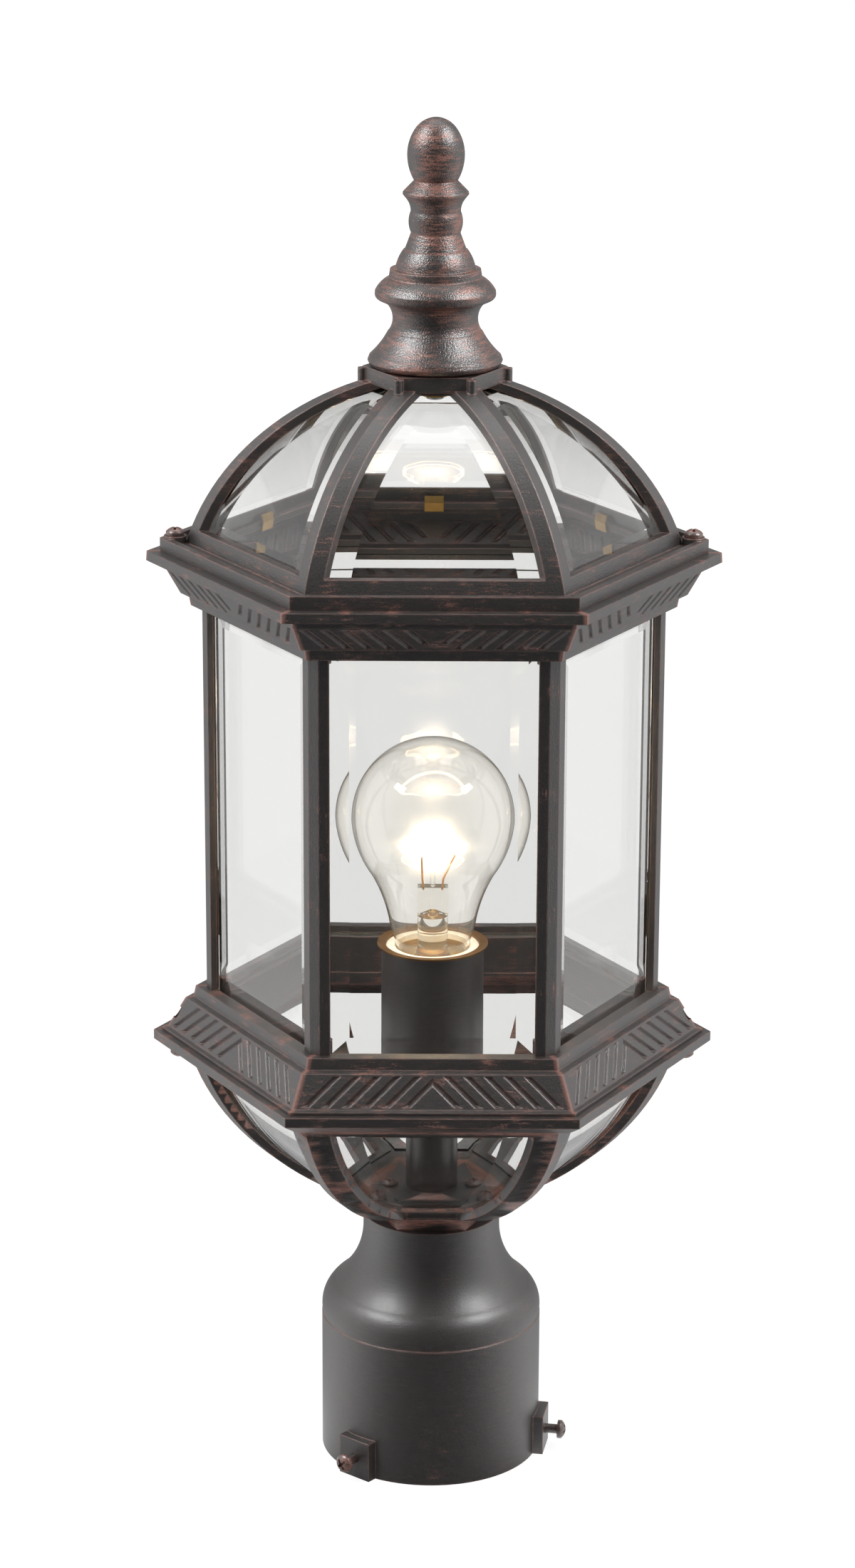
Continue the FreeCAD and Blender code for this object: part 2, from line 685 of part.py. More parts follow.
def make_bowl_frame():
    """Flange, six ribs and the hexagonal pan, in one casting."""
    body = new_body("bowl_frame")
    outside = size("bowl_bend_radius")
    inside = outside - wall
    under = bowl_flange_bottom
    rebate = under + size("bowl_rebate")
    slope_end = flange - size("bowl_flange_inset")
    swept_round(body, [
        (ledge_inner, joint_level), (flange, joint_level),
        (flange, joint_level - size("bowl_flange_edge")), (slope_end, under),
        BOWL_TOP, bend(outside, 1), BOWL_FOOT,
        (BOWL_FOOT[0], bend_rise(inside, BOWL_BEND, BOWL_FOOT[0], -1)),
        bend(inside, -1), (bend_reach(inside, BOWL_BEND, rebate), rebate),
        (ledge_inner, rebate)], slope_end)
    window = sketch_on(body, "bowl_window", "XY_Plane",
                       [sector(pan_reach + size("bowl_window_start"), flange,
                               size("bowl_rib_half"))], height=fitter_top)
    opening = pocket(body, window, size("bowl_height") - size("bowl_window_head"), upward=True)
    round_the_axis(body, [opening])
    pan = sketch_on(body, "pan_plan", "XY_Plane",
                    [hexagon(size("pan_corner_radius"))], height=fitter_top)
    pad(body, pan, size("pan_thickness"))
    shank = size("pan_screw_shank") + gap
    reach = size("pan_screw_reach")
    holes = sketch_on(body, "pan_holes", "XY_Plane",
                      [circle(nipple_hole), circle(shank, reach), circle(shank, -reach)],
                      height=fitter_top)
    pocket(body, holes, size("pan_thickness"), upward=True)
    shank = size("roof_screw_shank") + gap
    holes = sketch_on(body, "bowl_screw_holes", "XY_Plane",
                      [circle(shank, bowl_screw_circle), circle(shank, -bowl_screw_circle)],
                      height=under)
    pocket(body, holes, joint_level - under, upward=True)


def curved_glass(name, outside, centre, low_reach, top, margin, turn, dome):
    """One bent pane: its strip padded across the side and trimmed at both corner planes."""
    inside = outside - glass
    body = new_body(name)
    sign = 1 if dome else -1
    top_out, top_in = [(bend_reach(radius, centre, top), top) for radius in (outside, inside)]
    low_out, low_in = [(low_reach, bend_rise(radius, centre, low_reach, sign))
                       for radius in (outside, inside)]
    strip = [top_out, bend(outside, -sign), low_out, low_in, bend(inside, sign), top_in]
    section = sketch_on(body, name + "_section", "YZ_Plane", [strip])
    pad(body, section, outside * 2, both_ways=True)
    far = outside + wall
    near = low_reach / 2

    def half(apothem):
        return apothem * HALF_SIDE - margin / FLAT_OVER_CORNER
    waste = [[(half(near) * side, near), (half(far) * side, far), (far * side * 2, far),
              (far * side * 2, near)] for side in (1, -1)]
    trim = sketch_on(body, name + "_trim", "XY_Plane", waste)
    pocket(body, trim, (centre[1] + outside) * 2, both_ways=True)
    turn_in_plan(body, 180 + turn)
    return body


def make_bowl_glass():
    outside = size("bowl_bend_radius") - wall - gap
    top = bowl_flange_bottom + size("bowl_rebate") - gap
    for side in range(SIDES):
        curved_glass("bowl_glass_%d" % (side + 1), outside, BOWL_BEND,
                     pan_reach + size("bowl_glass_start"), top, size("glass_margin"),
                     side * SIDE_TURN, dome=False)


def make_screw_pair(name, circle_radius, head_level, shank, head, depth, length, upside_down):
    """Two screws on the X axis, at the left and the right corner."""
    screws = []
    for side in (1, -1):
        turn = Rotation(Vector(1, 0, 0), 180) if upside_down else Rotation()
        place = Vector(side * circle_radius.value, 0, head_level.value)
        screws.append(round_head_screw("%s_%s" % (name, "right" if side > 0 else "left"), shank,
                                       head, depth, length, Placement(place, turn)))
    return screws


def make_bowl_screws():
    group("bowl_screws", make_screw_pair(
        "bowl_screw", bowl_screw_circle, bowl_flange_bottom,
        size("roof_screw_shank"), size("roof_screw_head"), size("roof_head_depth"),
        size("bowl_screw_length"), True))
    group("pan_screws", make_screw_pair(
        "pan_screw", size("pan_screw_reach"), pan_top, size("pan_screw_shank"),
        size("pan_screw_head"), size("pan_head_depth"), size("pan_screw_length"), False))


# ---------------------------------------------------------------- chevron ornament

GROOVES = 6


def chevrons(height, count, point_up):
    """Grooves at 45 degrees that leave chevron bars, as outlines in the plane of a face.

    The origin is the middle of the face's foot.
    """
    low = size("panel_border")
    rise = height - low * 2

    def at(across, climb):
        return (across, low + climb if point_up else height - low - climb)

    def mirrored(corners):
        return [(-across, up) for across, up in corners]

    outlines = []
    for number in range(count):
        near = size("first_bar") + size("bar_pitch") * number
        far = near + size("groove_width")
        foot = [at(near, 0), at(far, 0)]
        if (near + size("groove_width")).value < rise.value:
            crossing = [at(far - rise, rise), at(rise - far, rise)]
            top = crossing if far.value > rise.value else [at(0, far)]
            outlines.append(foot + top + mirrored(reversed(foot)) + [at(0, near)])
        else:
            end = rise if near.value > rise.value else near - size("groove_width") / 2
            strip = foot + [at(far - end, end), at(near - end, end)]
            outlines += [strip, mirrored(strip)]
    return outlines


def engrave(body, name, foot, head, count, point_up, inward=True):
    """Cuts the chevrons into the sloping face between foot and head on every side."""
    lean = foot[0] - head[0]
    rise = head[1] - foot[1]
    height = (lean * lean + rise * rise).root()
    sketch = body.newObject("Sketcher::SketchObject", name)
    sketch.AttachmentSupport = (origin_plane(body, "XZ_Plane"), "")
    sketch.MapMode = "FlatFace"
    angle = math.degrees(math.atan2(lean.value, rise.value))
    axis = Vector(-1, 0, 0) if angle > 0 else Vector(1, 0, 0)
    sketch.AttachmentOffset = Placement(Vector(0, foot[1].value, foot[0].value),
                                        Rotation(axis, abs(angle)))
    sketch.setExpression("AttachmentOffset.Base.y", foot[1].formula)
    sketch.setExpression("AttachmentOffset.Base.z", foot[0].formula)
    sketch.setExpression("AttachmentOffset.Rotation.Angle",
                         "abs(atan2(%s; %s))" % (lean.formula, rise.formula))
    draw(sketch, chevrons(height, count, point_up))
    ground = pocket(body, sketch, size("groove_depth"), upward=not inward)
    slope = size("groove_width") * 0.3 / size("groove_depth")
    ground.TaperAngle = -math.degrees(math.atan(slope.value))
    ground.setExpression("TaperAngle", "-atan(%s)" % slope.formula)
    return round_the_axis(body, [ground])


# ---------------------------------------------------------------- gallery, posts and side glass

def make_gallery():
    """Ornamented skirt between the bowl and the posts, with the ledge for the side glass."""
    body = new_body("gallery")
    step = joint_level + size("gallery_step_height")
    face_head = joint_level + size("gallery_face_rise")
    ledge = pane_bottom - gap
    hollow_top = ledge - wall * 1.5
    foot = flange - size("gallery_foot_inset")
    head = foot - size("gallery_face_lean")
    step_reach = foot + size("gallery_step_out")
    swept_round(body, [
        (ledge_inner, joint_level), (ledge_inner, ledge), (band_inner, ledge),
        (band_inner, gallery_top), (band, gallery_top),
        (band + size("gallery_band_out"), face_head + 0.5),
        (head, face_head), (foot, step + 0.4), (step_reach, step), (step_reach, joint_level),
        (foot - wall, joint_level), (head - wall, hollow_top), (ledge_inner + wall, hollow_top),
        (ledge_inner + wall, joint_level)], band)
    engrave(body, "gallery_ornament", (foot, step + 0.4), (head, face_head), GROOVES, True)
    pane_lugs(body, "gallery_lug", ledge - wall, size("lug_height") + wall)
    holes = sketch_on(body, "gallery_screw_holes", "XY_Plane",
                      [circle(size("roof_screw_shank") + gap / 3, bowl_screw_circle),
                       circle(size("roof_screw_shank") + gap / 3, -bowl_screw_circle)],
                      height=joint_level)
    pocket(body, holes, size("bowl_screw_length") - 3, upward=True)


def pane_lugs(body, name, bottom, height):
    """Round lug behind the panes' edges at every corner."""
    reach = (pane_outer - glass - gap * 3 - size("lug_radius")) / FLAT_OVER_CORNER
    lug = sketch_on(body, name, "XY_Plane", [circle(size("lug_radius"), reach)], height=bottom)
    round_the_axis(body, [pad(body, lug, height)])
    return reach


def make_posts():
    """Corner posts: two flanks in front of the panes, joined by a face and a short web."""
    reach = post_reach
    face = size("post_face") / 2
    flank = size("post_flank")
    thick = size("post_flange")
    web = size("post_web")
    cosine = FLAT_OVER_CORNER
    edge = (reach - flank / 2, face + flank * cosine)
    back = (edge[0] - thick * cosine, edge[1] - thick / 2)
    root = (back[0] + (back[1] - web) * HALF_SIDE, web)
    tip = (reach - size("post_web_depth"), web)
    half = [(reach, face), edge, back, root, tip]
    outline = half + [(across, -up) for across, up in reversed(half)]
    for side in range(SIDES):
        name = "post_%d" % (side + 1)
        body = new_body(name)
        plan = sketch_on(body, name + "_plan", "XY_Plane", [outline], height=gallery_top)
        pad(body, plan, size("post_length"))
        turn_in_plan(body, side * SIDE_TURN)


def make_side_glass():
    """Flat panes with a wide bevel on their outer face."""
    half = pane_outer * HALF_SIDE - size("pane_margin") / FLAT_OVER_CORNER
    edge = glass - size("bevel_depth")
    bevel = size("bevel_width")
    slope = math.degrees(math.atan2(bevel.value, size("bevel_depth").value))
    outline = [(-half, pane_bottom), (half, pane_bottom), (half, pane_top), (-half, pane_top)]
    for side in range(SIDES):
        name = "side_glass_%d" % (side + 1)
        body = new_body(name)
        inner_face = sketch_on(body, name + "_plan", "XZ_Plane", [outline],
                               height=pane_outer - glass)
        pad(body, inner_face, edge)
        outer_face = sketch_on(body, name + "_bevel", "XZ_Plane", [outline],
                               height=pane_outer - size("bevel_depth"))
        raised = pad(body, outer_face, size("bevel_depth"))
        raised.TaperAngle = -slope
        raised.setExpression("TaperAngle", "-atan(sizes.bevel_width / sizes.bevel_depth)")
        turn_in_plan(body, side * SIDE_TURN)


# ---------------------------------------------------------------- frieze under the eave

def make_upper_frame():
    """Band over the posts, sloping frieze and the flange that carries the roof."""
    body = new_body("upper_frame")
    foot = posts_top + size("frieze_foot_height")
    head = foot + size("frieze_rise")
    under = eave - size("eave_thickness")
    reach_foot = band + size("frieze_foot_out")
    reach_head = reach_foot + size("frieze_lean")
    mouth = flange - size("mouth_inset")
    thick = wall * 1.1
    swept_round(body, [
        (band_inner, posts_top), (band, posts_top),
        (band + 0.6, posts_top + size("frieze_band_height")),
        (reach_foot, foot), (reach_head, head), (reach_head + 0.4, under),
        (flange, under), (flange - 0.2, eave), (mouth, eave),
        (mouth, under), (reach_head - thick, under), (reach_head - thick, head),
        (reach_foot - thick, foot + 0.6), (band_inner, foot)], band)
    engrave(body, "frieze_ornament", (reach_foot, foot), (reach_head, head), GROOVES, False)
    engrave(body, "frieze_back", (reach_foot - thick, foot + 0.6), (reach_head - thick, head),
            GROOVES - 1, False, inward=False)
    lug_top = pane_top + gap
    reach = pane_lugs(body, "frieze_lug", lug_top - size("lug_height"),
                      size("lug_height") + size("lug_radius") / 2)
    width = size("lug_radius") * 0.8
    arm = sketch_on(body, "frieze_arm", "XY_Plane",
                    [[(reach, -width), (reach, width), (band / FLAT_OVER_CORNER - width, width),
                      (band / FLAT_OVER_CORNER - width, -width)]], height=lug_top)
    round_the_axis(body, [pad(body, arm, size("lug_radius") / 2)])
    bosses = sketch_on(body, "roof_screw_bosses", "XY_Plane",
                       [circle(size("roof_screw_shank") + 1.25, roof_screw_circle),
                        circle(size("roof_screw_shank") + 1.25, -roof_screw_circle)],
                       height=under)
    pad(body, bosses, wall, downward=True)
    deep = size("roof_screw_length") - size("roof_boss_height") + 0.5
    holes = sketch_on(body, "roof_screw_holes", "XY_Plane",
                      [circle(size("roof_screw_shank") + gap / 3, roof_screw_circle),
                       circle(size("roof_screw_shank") + gap / 3, -roof_screw_circle)],
                      height=eave)
    pocket(body, holes, deep)


# ---------------------------------------------------------------- roof

def make_roof_frame():
    """Rim, six ribs and the crown plate of the roof, in one casting."""
    body = new_body("roof_frame")
    outside = size("roof_bend_radius")
    inside = outside - wall
    rim_top = eave + size("rim_height")
    groove = rim_top - size("rim_groove")
    ledge = eave + size("roof_ledge_thickness")
    lip = rim - size("rim_lip")
    swept_round(body, [
        (roof_ledge, eave), (rim, eave), (rim, rim_top), (lip, rim_top),
        (lip, groove), ROOF_FOOT, bend(outside, -1), ROOF_HEAD,
        (ROOF_HEAD[0], bend_rise(inside, ROOF_BEND, ROOF_HEAD[0], 1)),
        bend(inside, 1), (bend_reach(inside, ROOF_BEND, ledge), ledge),
        (roof_ledge, ledge)], lip)
    sill = eave + size("roof_window_sill")
    window = sketch_on(body, "roof_window", "XY_Plane",
                       [sector(ROOF_HEAD[0] + 0.5, rim, size("roof_rib_half"))], height=sill)
    opening = pocket(body, window, size("crown_height"), upward=True)
    round_the_axis(body, [opening])
    crown = sketch_on(body, "crown_plan", "XY_Plane",
                      [hexagon(size("crown_corner_radius"))], height=crown_bottom)
    pad(body, crown, size("crown_thickness"))
    pillar = sketch_on(body, "crown_pillar", "XY_Plane",
                       [circle(size("pillar_radius"), size("crown_corner_radius"))],
                       height=crown_top - size("pillar_height"))
    one = pad(body, pillar, size("pillar_height") - 0.6)
    round_the_axis(body, [one])
    bosses = sketch_on(body, "roof_bosses", "XY_Plane",
                       [circle(size("roof_boss_radius"), roof_screw_circle),
                        circle(size("roof_boss_radius"), -roof_screw_circle)], height=eave)
    pad(body, bosses, size("roof_boss_height"))
    shank = size("roof_screw_shank") + gap
    holes = sketch_on(body, "roof_holes", "XY_Plane",
                      [circle(shank, roof_screw_circle), circle(shank, -roof_screw_circle)],
                      height=eave)
    pocket(body, holes, size("roof_boss_height"), upward=True)
    stud = sketch_on(body, "crown_hole", "XY_Plane", [circle(size("stud_radius") + gap)],
                     height=crown_bottom)
    pocket(body, stud, size("crown_thickness"), upward=True)


def make_roof_glass():
    outside = size("roof_bend_radius") - wall - gap
    bottom = eave + size("roof_ledge_thickness") + gap
    for side in range(SIDES):
        curved_glass("roof_glass_%d" % (side + 1), outside, ROOF_BEND,
                     crown_reach - size("roof_glass_tuck"), bottom, size("glass_margin"),
                     side * SIDE_TURN, dome=True)


def make_glass_clips():
    """Folded brass strips that hold the lower edge of each roof pane to its ledge."""
    body = new_body("glass_clips")
    body.AllowCompound = True
    thick = size("clip_thickness")
    reach = roof_ledge - gap
    low = eave - gap
    fold = eave + size("clip_height") / 2
    high = eave + size("clip_height")
    belly = reach - thick
    strip = [(reach + size("clip_foot"), low), (reach + size("clip_foot"), low - thick),
             (belly, low - thick), (belly - thick, fold), (belly, high), (reach, high),
             (reach - thick, fold), (reach, low)]
    section = sketch_on(body, "clip_section", "YZ_Plane", [strip])
    one = pad(body, section, size("clip_width"), both_ways=True)
    round_the_axis(body, [one])


def make_roof_screws():
    make_screw_pair("roof_screw", roof_screw_circle, eave + size("roof_boss_height"),
                    size("roof_screw_shank"), size("roof_screw_head"), size("roof_head_depth"),
                    size("roof_screw_length"), False)


# ---------------------------------------------------------------- finial

def make_finial():
    """Turned finial with an egg on top, screwed down on a stud."""
    foot_top = crown_top + size("finial_foot_height")
    waist_top = foot_top + size("finial_waist_height")
    tiers = waist_top + size("finial_flare_height")
    neck = tiers + size("finial_tiers_height")
    slope = neck + size("finial_bead_height")
    egg = slope + size("finial_collar_height")
    egg_wide = egg + size("egg_height") * 0.41
    tip = egg + size("egg_height")
    foot = size("finial_foot_radius")
    waist = size("finial_waist_radius")
    middle = size("finial_flare_radius")
    tier = size("finial_tier_radius")
    slim = size("finial_neck_radius")
    collar = size("finial_collar_radius")
    round_top = size("egg_radius")
    tip_flat = round_top * 0.04
    bore = size("stud_radius") + gap
    bore_top = crown_top + size("stud_engagement") + 0.5
    turned("finial", [
        (bore, crown_top), (foot - 2.6, crown_top), bend(3.5, -1), (foot, crown_top + 2.3),
        (foot - 0.6, crown_top + 3.9), bend(30, 1), (waist + 1.7, foot_top),
        (waist + 1.2, foot_top + 0.5), bend(size("finial_waist_height") * 0.76, 1),
        (waist + 2.3, waist_top), (middle - 1.3, waist_top + 1.2), bend(1.9, -1),
        (middle, waist_top + 3), (middle - 0.1, waist_top + 4.2),
        bend(size("finial_flare_height") * 1.2, -1), (tier, tiers), (tier - 0.4, tiers + 2.8),
        (tier - 2.2, tiers + 3), bend(size("finial_tiers_height"), -1),
        (tier - 5, tiers + 9.5), (tier - 5.5, tiers + 9.7), (slim, neck),
        bend(size("finial_bead_height") * 1.24, -1), (slim + 0.1, slope), bend(7, 1),
        (collar - 1.3, egg - 6.3), (collar, egg - 4.7), (collar - 0.1, egg - 3.9),
        (collar - 3.9, egg), bend(round_top * 1.81, -1), (round_top, egg_wide),
        bend(round_top * 1.56, -1), (round_top * 0.714, egg + size("egg_height") * 0.823),
        bend(round_top * 0.923, -1), (tip_flat, tip), (0, tip), (0, bore_top),
        (bore, bore_top)])


def make_finial_fixings():
    """Stud, washer and nut that hold the finial to the crown plate."""
    stud = size("stud_radius")
    nut_height = size("stud_nut_height")
    washer_bottom = crown_bottom - size("washer_thickness")
    bottom = washer_bottom - nut_height - 1.2
    top = crown_top + size("stud_engagement")
    turned("finial_stud", [(0, bottom), (stud, bottom), (stud, top), (0, top)])
    turned("finial_washer", [(stud + gap, washer_bottom), (size("washer_radius"), washer_bottom),
                             (size("washer_radius"), crown_bottom), (stud + gap, crown_bottom)])
    hex_nut("finial_nut", size("stud_nut_flats") / 2, stud + gap / 3,
            washer_bottom - nut_height, nut_height)


# ---------------------------------------------------------------- stem and lamp holder

def make_stem():
    """Tube and threaded nipple that stand the lamp holder on the pan, with two lock nuts."""
    nut = size("nipple_nut_height")
    outer = size("stem_radius")
    inner = outer - size("stem_wall")
    turned("stem_tube", [(inner, pan_top), (outer, pan_top), (outer, sleeve_bottom),
                         (inner, sleeve_bottom)])
    ceiling = fitter_top - size("fitter_top_wall")
    low = ceiling - nut - 1.5
    high = sleeve_bottom + size("sleeve_wall") + nut + size("nipple_engagement")
    outer = size("nipple_radius")
    inner = outer - size("nipple_wall")
    turned("nipple", [(inner, low), (outer, low), (outer, high), (inner, high)])
    hex_nut("lock_nut_lower", size("nipple_nut_flats") / 2, outer + gap / 3, ceiling - nut, nut)
    hex_nut("lock_nut_upper", size("nipple_nut_flats") / 2, outer + gap / 3,
            sleeve_bottom + size("sleeve_wall"), nut)


def make_lamp_holder():
    """Dark sleeve, brass rim, ceramic body, screw shell and centre contact."""
    inner = sleeve_radius - size("sleeve_wall")
    floor_top = sleeve_bottom + size("sleeve_wall")
    turned("socket_sleeve", [
        (nipple_hole, sleeve_bottom), (sleeve_radius, sleeve_bottom),
        (sleeve_radius, sleeve_top), (inner, sleeve_top), (inner, floor_top),
        (nipple_hole, floor_top)])
    body_bottom = floor_top + size("nipple_nut_height")
    nipple_end = body_bottom + size("nipple_engagement") + 1
    floor = sleeve_top - size("socket_depth")
    turned("socket_body", [
        (nipple_hole, body_bottom), (socket_radius, body_bottom), (socket_radius, sleeve_top),
        (socket_hole, sleeve_top), (socket_hole, floor), (0, floor), (0, nipple_end),
        (nipple_hole, nipple_end)])
    turned("screw_shell", [(shell_radius, floor + 2), (socket_hole, floor + 2),
                           (socket_hole, sleeve_top - 2), (shell_radius, sleeve_top - 2)])
    flare = sleeve_radius + size("rim_flare")
    turned("socket_rim", [
        (socket_radius + gap, sleeve_top), (sleeve_radius, sleeve_top),
        (flare, sleeve_top + 0.4), (flare, sleeve_top + 1), (sleeve_radius, sleeve_top + 0.7),
        (socket_radius + gap, sleeve_top + 0.7)])
    contact = size("contact_radius")
    turned("centre_contact", [(0, floor), (contact + 1, floor), (contact, floor + 1),
                              (0, floor + CONTACT_RISE)])


# ---------------------------------------------------------------- bulb

def make_bulb():
    """Clear bulb: envelope, screw cap and contact."""
    cap_bottom = bulb_seat + CAP_FOOT
    cap = size("cap_radius")
    contact = size("contact_radius")
    turned("bulb_contact", [(0, bulb_seat), (contact - 1, bulb_seat), (contact, bulb_seat + 1),
                            (0, bulb_seat + 1)])
    turned("bulb_cap", [(0, bulb_seat + 1), (contact + 2, bulb_seat + 1),
                        (cap - 2, cap_bottom), (cap, cap_bottom + 2), (cap, cap_top),
                        (cap - 0.6, cap_top), (cap - 0.6, cap_bottom + 4), (0, cap_bottom + 4)])
    wide = size("bulb_radius")
    level = bulb_wide_level
    neck = size("bulb_neck_radius")
    thin = size("bulb_wall")
    neck_top = cap_top + size("bulb_neck_height")
    waist = (wide + neck) / 2
    waist_level = (level + neck_top) / 2
    crown = level + wide * 1.03
    crown_flat = wide * 0.02
    hollow, swell, dome = wide * 2.04, wide * 1.29, wide * 1.01
    turned("bulb_glass", [
        (cap - 1.6, mount_foot), (cap - 0.8, mount_foot), (cap - 0.8, cap_top + 0.5),
        (neck, neck_top), bend(hollow, 1), (waist, waist_level), bend(swell, -1),
        (wide, level), bend(dome, -1), (crown_flat, crown), (0, crown), (0, crown - thin),
        (crown_flat, crown - thin), bend(dome - thin, 1), (wide - thin, level),
        bend(swell - thin, 1), (waist - thin, waist_level), bend(hollow + thin, -1),
        (neck - thin, neck_top), (cap - 1.6, cap_top + 1)])


def make_bulb_mount():
    """Flared glass tube with a flat press, a rod with a button, and the wires they carry."""
    flare = size("cap_radius") - 2.2
    tube_radius = size("mount_radius")
    press_bottom = filament_level - 24
    press_top = press_bottom + PRESS_HEIGHT
    button = filament_level - 4
    body = turned("bulb_stem", [
        (0, mount_foot), (flare, mount_foot), (flare - 0.3, mount_foot + 1), bend(12, 1),
        (tube_radius, mount_foot + 13), (tube_radius, press_bottom - 2),
        (2, press_bottom), (2, press_top - 1), (1, press_top), (1, button - 1), bend(1.4, -1),
        (1, button + 1), (0, button + 1)])
    wide, thick = tube_radius, tube_radius * 0.35
    press = sketch_on(body, "bulb_press", "XY_Plane",
                      [[(-wide, -thick), (wide, -thick), (wide, thick), (-wide, thick)]],
                      height=press_bottom - 1.5)
    pad(body, press, PRESS_HEIGHT + 1.5)
    make_wires(press_top.value, button.value)


def make_wires(press_top, button):
    """Two lead wires up to the ends of the bent filament, and the supports of its bend."""
    level = filament_level.value
    bend_radius = size("filament_radius").value
    wire = size("wire_radius").value

    def on_bend(degrees):
        turn = math.radians(degrees)
        return Vector(bend_radius * math.cos(turn), bend_radius * math.sin(turn), level)
    wires = []
    for side, degrees in zip((1, -1), FILAMENT_ENDS):
        foot = Vector(side * 3.4, 0, press_top - 1)
        wires.append(tube([foot, Vector(side * 3.8, -1, press_top + 3), on_bend(degrees)], wire))
    for degrees in FILAMENT_SUPPORTS:
        turn = math.radians(degrees)
        foot = Vector(math.cos(turn), math.sin(turn), button)
        wires.append(tube([foot, on_bend(degrees)], wire * 0.6))
    leads = doc.addObject("Part::Feature", "filament_leads")
    leads.Shape = Part.makeCompound(wires)
    leads.Label = "filament_leads"
    parts["filament_leads"] = leads
    middle = (FILAMENT_ENDS[0] + FILAMENT_ENDS[1]) / 2
    arc = Part.Arc(on_bend(FILAMENT_ENDS[0]), on_bend(middle), on_bend(FILAMENT_ENDS[1])).toShape()
    start = arc.valueAt(arc.FirstParameter)
    section = Part.Wire(Part.makeCircle(wire * 1.6, start, arc.tangentAt(arc.FirstParameter)))
    coil = doc.addObject("Part::Feature", "filament")
    coil.Shape = Part.Wire([arc]).makePipeShell([section], True, False)
    coil.Label = "filament"
    parts["filament"] = coil


def tube(points, radius):
    """Straight runs of round wire, joined by balls at the bends."""
    pieces = []
    for start, end in zip(points, points[1:]):
        run = end - start
        pieces.append(Part.makeCylinder(radius, run.Length, start, run))
    for point in points[1:-1]:
        pieces.append(Part.makeSphere(radius, point))
    return pieces[0].multiFuse(pieces[1:]) if len(pieces) > 1 else pieces[0]


# ---------------------------------------------------------------- build and write

def faults():
    """Everything that failed to build, in words."""
    found = []
    for item in doc.Objects:
        if "Invalid" in item.State or "Error" in item.State:
            found.append("%s: %s" % (item.Label, item.State))
    for name, item in parts.items():
        shape = item.Shape
        if shape.isNull() or not shape.isValid() or not shape.Solids:
            found.append("%s: no valid solid" % name)
    return found


make_fitter()
make_clamp_screws()
make_bowl_frame()
make_bowl_glass()
make_bowl_screws()
make_gallery()
make_posts()
make_side_glass()
make_upper_frame()
make_roof_frame()
make_roof_glass()
make_glass_clips()
make_roof_screws()
make_finial()
make_finial_fixings()
make_stem()
make_lamp_holder()
make_bulb()
make_bulb_mount()
doc.recompute()

problems = faults()
if problems:
    raise SystemExit("\n".join(problems))
os.makedirs("parts", exist_ok=True)
for name, item in parts.items():
    item.Shape.exportStep("parts/%s.step" % name)
print("%d parts" % len(parts))
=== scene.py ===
# %% [markdown]
# # A post top lantern
# The lantern is a hexagonal cage of cast aluminium with a domed roof, a bowl, bevelled glass, a
# turned finial and a clear bulb. Its castings, posts, fitter and screws come ready made from the
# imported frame, in metres, with +Z up and the middle of the fitter's rim at the origin. This file
# gives them their finishes, and models what needs more than a plain solid: the bent glass with its
# polished borders, the bowl's open windows, the bulb, its filament and the haze of light round it.

# %% Load the frame
import math

import bpy
from mathutils import Matrix, Vector


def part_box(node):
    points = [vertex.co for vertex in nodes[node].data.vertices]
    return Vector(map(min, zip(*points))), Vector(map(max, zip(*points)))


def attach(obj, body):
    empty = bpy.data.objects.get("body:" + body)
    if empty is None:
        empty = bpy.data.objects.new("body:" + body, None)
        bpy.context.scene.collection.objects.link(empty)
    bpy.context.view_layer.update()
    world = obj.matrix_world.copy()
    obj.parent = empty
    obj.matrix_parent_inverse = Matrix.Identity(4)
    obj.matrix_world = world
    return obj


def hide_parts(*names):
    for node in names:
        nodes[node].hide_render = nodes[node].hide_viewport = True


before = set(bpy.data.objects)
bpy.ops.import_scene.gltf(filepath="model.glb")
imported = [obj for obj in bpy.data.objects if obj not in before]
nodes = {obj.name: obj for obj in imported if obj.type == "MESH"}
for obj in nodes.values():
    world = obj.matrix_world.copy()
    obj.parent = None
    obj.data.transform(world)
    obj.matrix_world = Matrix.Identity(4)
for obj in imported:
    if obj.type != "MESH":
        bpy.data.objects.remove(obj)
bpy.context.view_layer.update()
MM = 0.001
SIDES = 6
SIDE_TURN = math.radians(60)
print("nodes", len(nodes))

# %% [markdown]
# The photograph was taken with a long lens from a little above, so the lantern's upright edges
# stay nearly parallel. The camera stands at the place that a fit to the hexagon's corners gave.
# Its sensor width is tied to the picture's width, which keeps the framing right in a tall picture,
# and its focal length is given in pixels of that width, as the fit gives it.

# %% Camera
PICTURE_WIDTH = 1200
FOCAL_PIXELS = 5777
SENSOR_WIDTH = 36
CAMERA_PLACE = Vector((-3.3, -1414.7, 688.2)) * MM
PITCH = math.radians(90 - 16.93)
YAW = math.radians(-0.05)
ROLL = math.radians(0.23)

camera_data = bpy.data.cameras.new("photo_camera")
camera_data.sensor_fit = "HORIZONTAL"
camera_data.sensor_width = SENSOR_WIDTH
camera_data.lens = SENSOR_WIDTH * FOCAL_PIXELS / PICTURE_WIDTH
camera_data.clip_end = 20
camera = bpy.data.objects.new("photo_camera", camera_data)
bpy.context.scene.collection.objects.link(camera)
camera.matrix_world = (Matrix.Translation(CAMERA_PLACE)
                       @ Matrix.Rotation(YAW, 4, "Z") @ Matrix.Rotation(PITCH, 4, "X")
                       @ Matrix.Rotation(ROLL, 4, "Z"))
bpy.context.scene.camera = camera
print("lens", round(camera_data.lens, 1), "mm")

# %% [markdown]
# A shader is easier to read as a sum than as a web of nodes. `Value` wraps one socket and turns
# Python's own operators into Math nodes, so `1 - rub * streaks` builds the nodes it names. `Web`
# makes any other node from its type, its settings and what goes into its sockets, and `Graph` is
# a material with one main shader, whose sockets are set by their names.

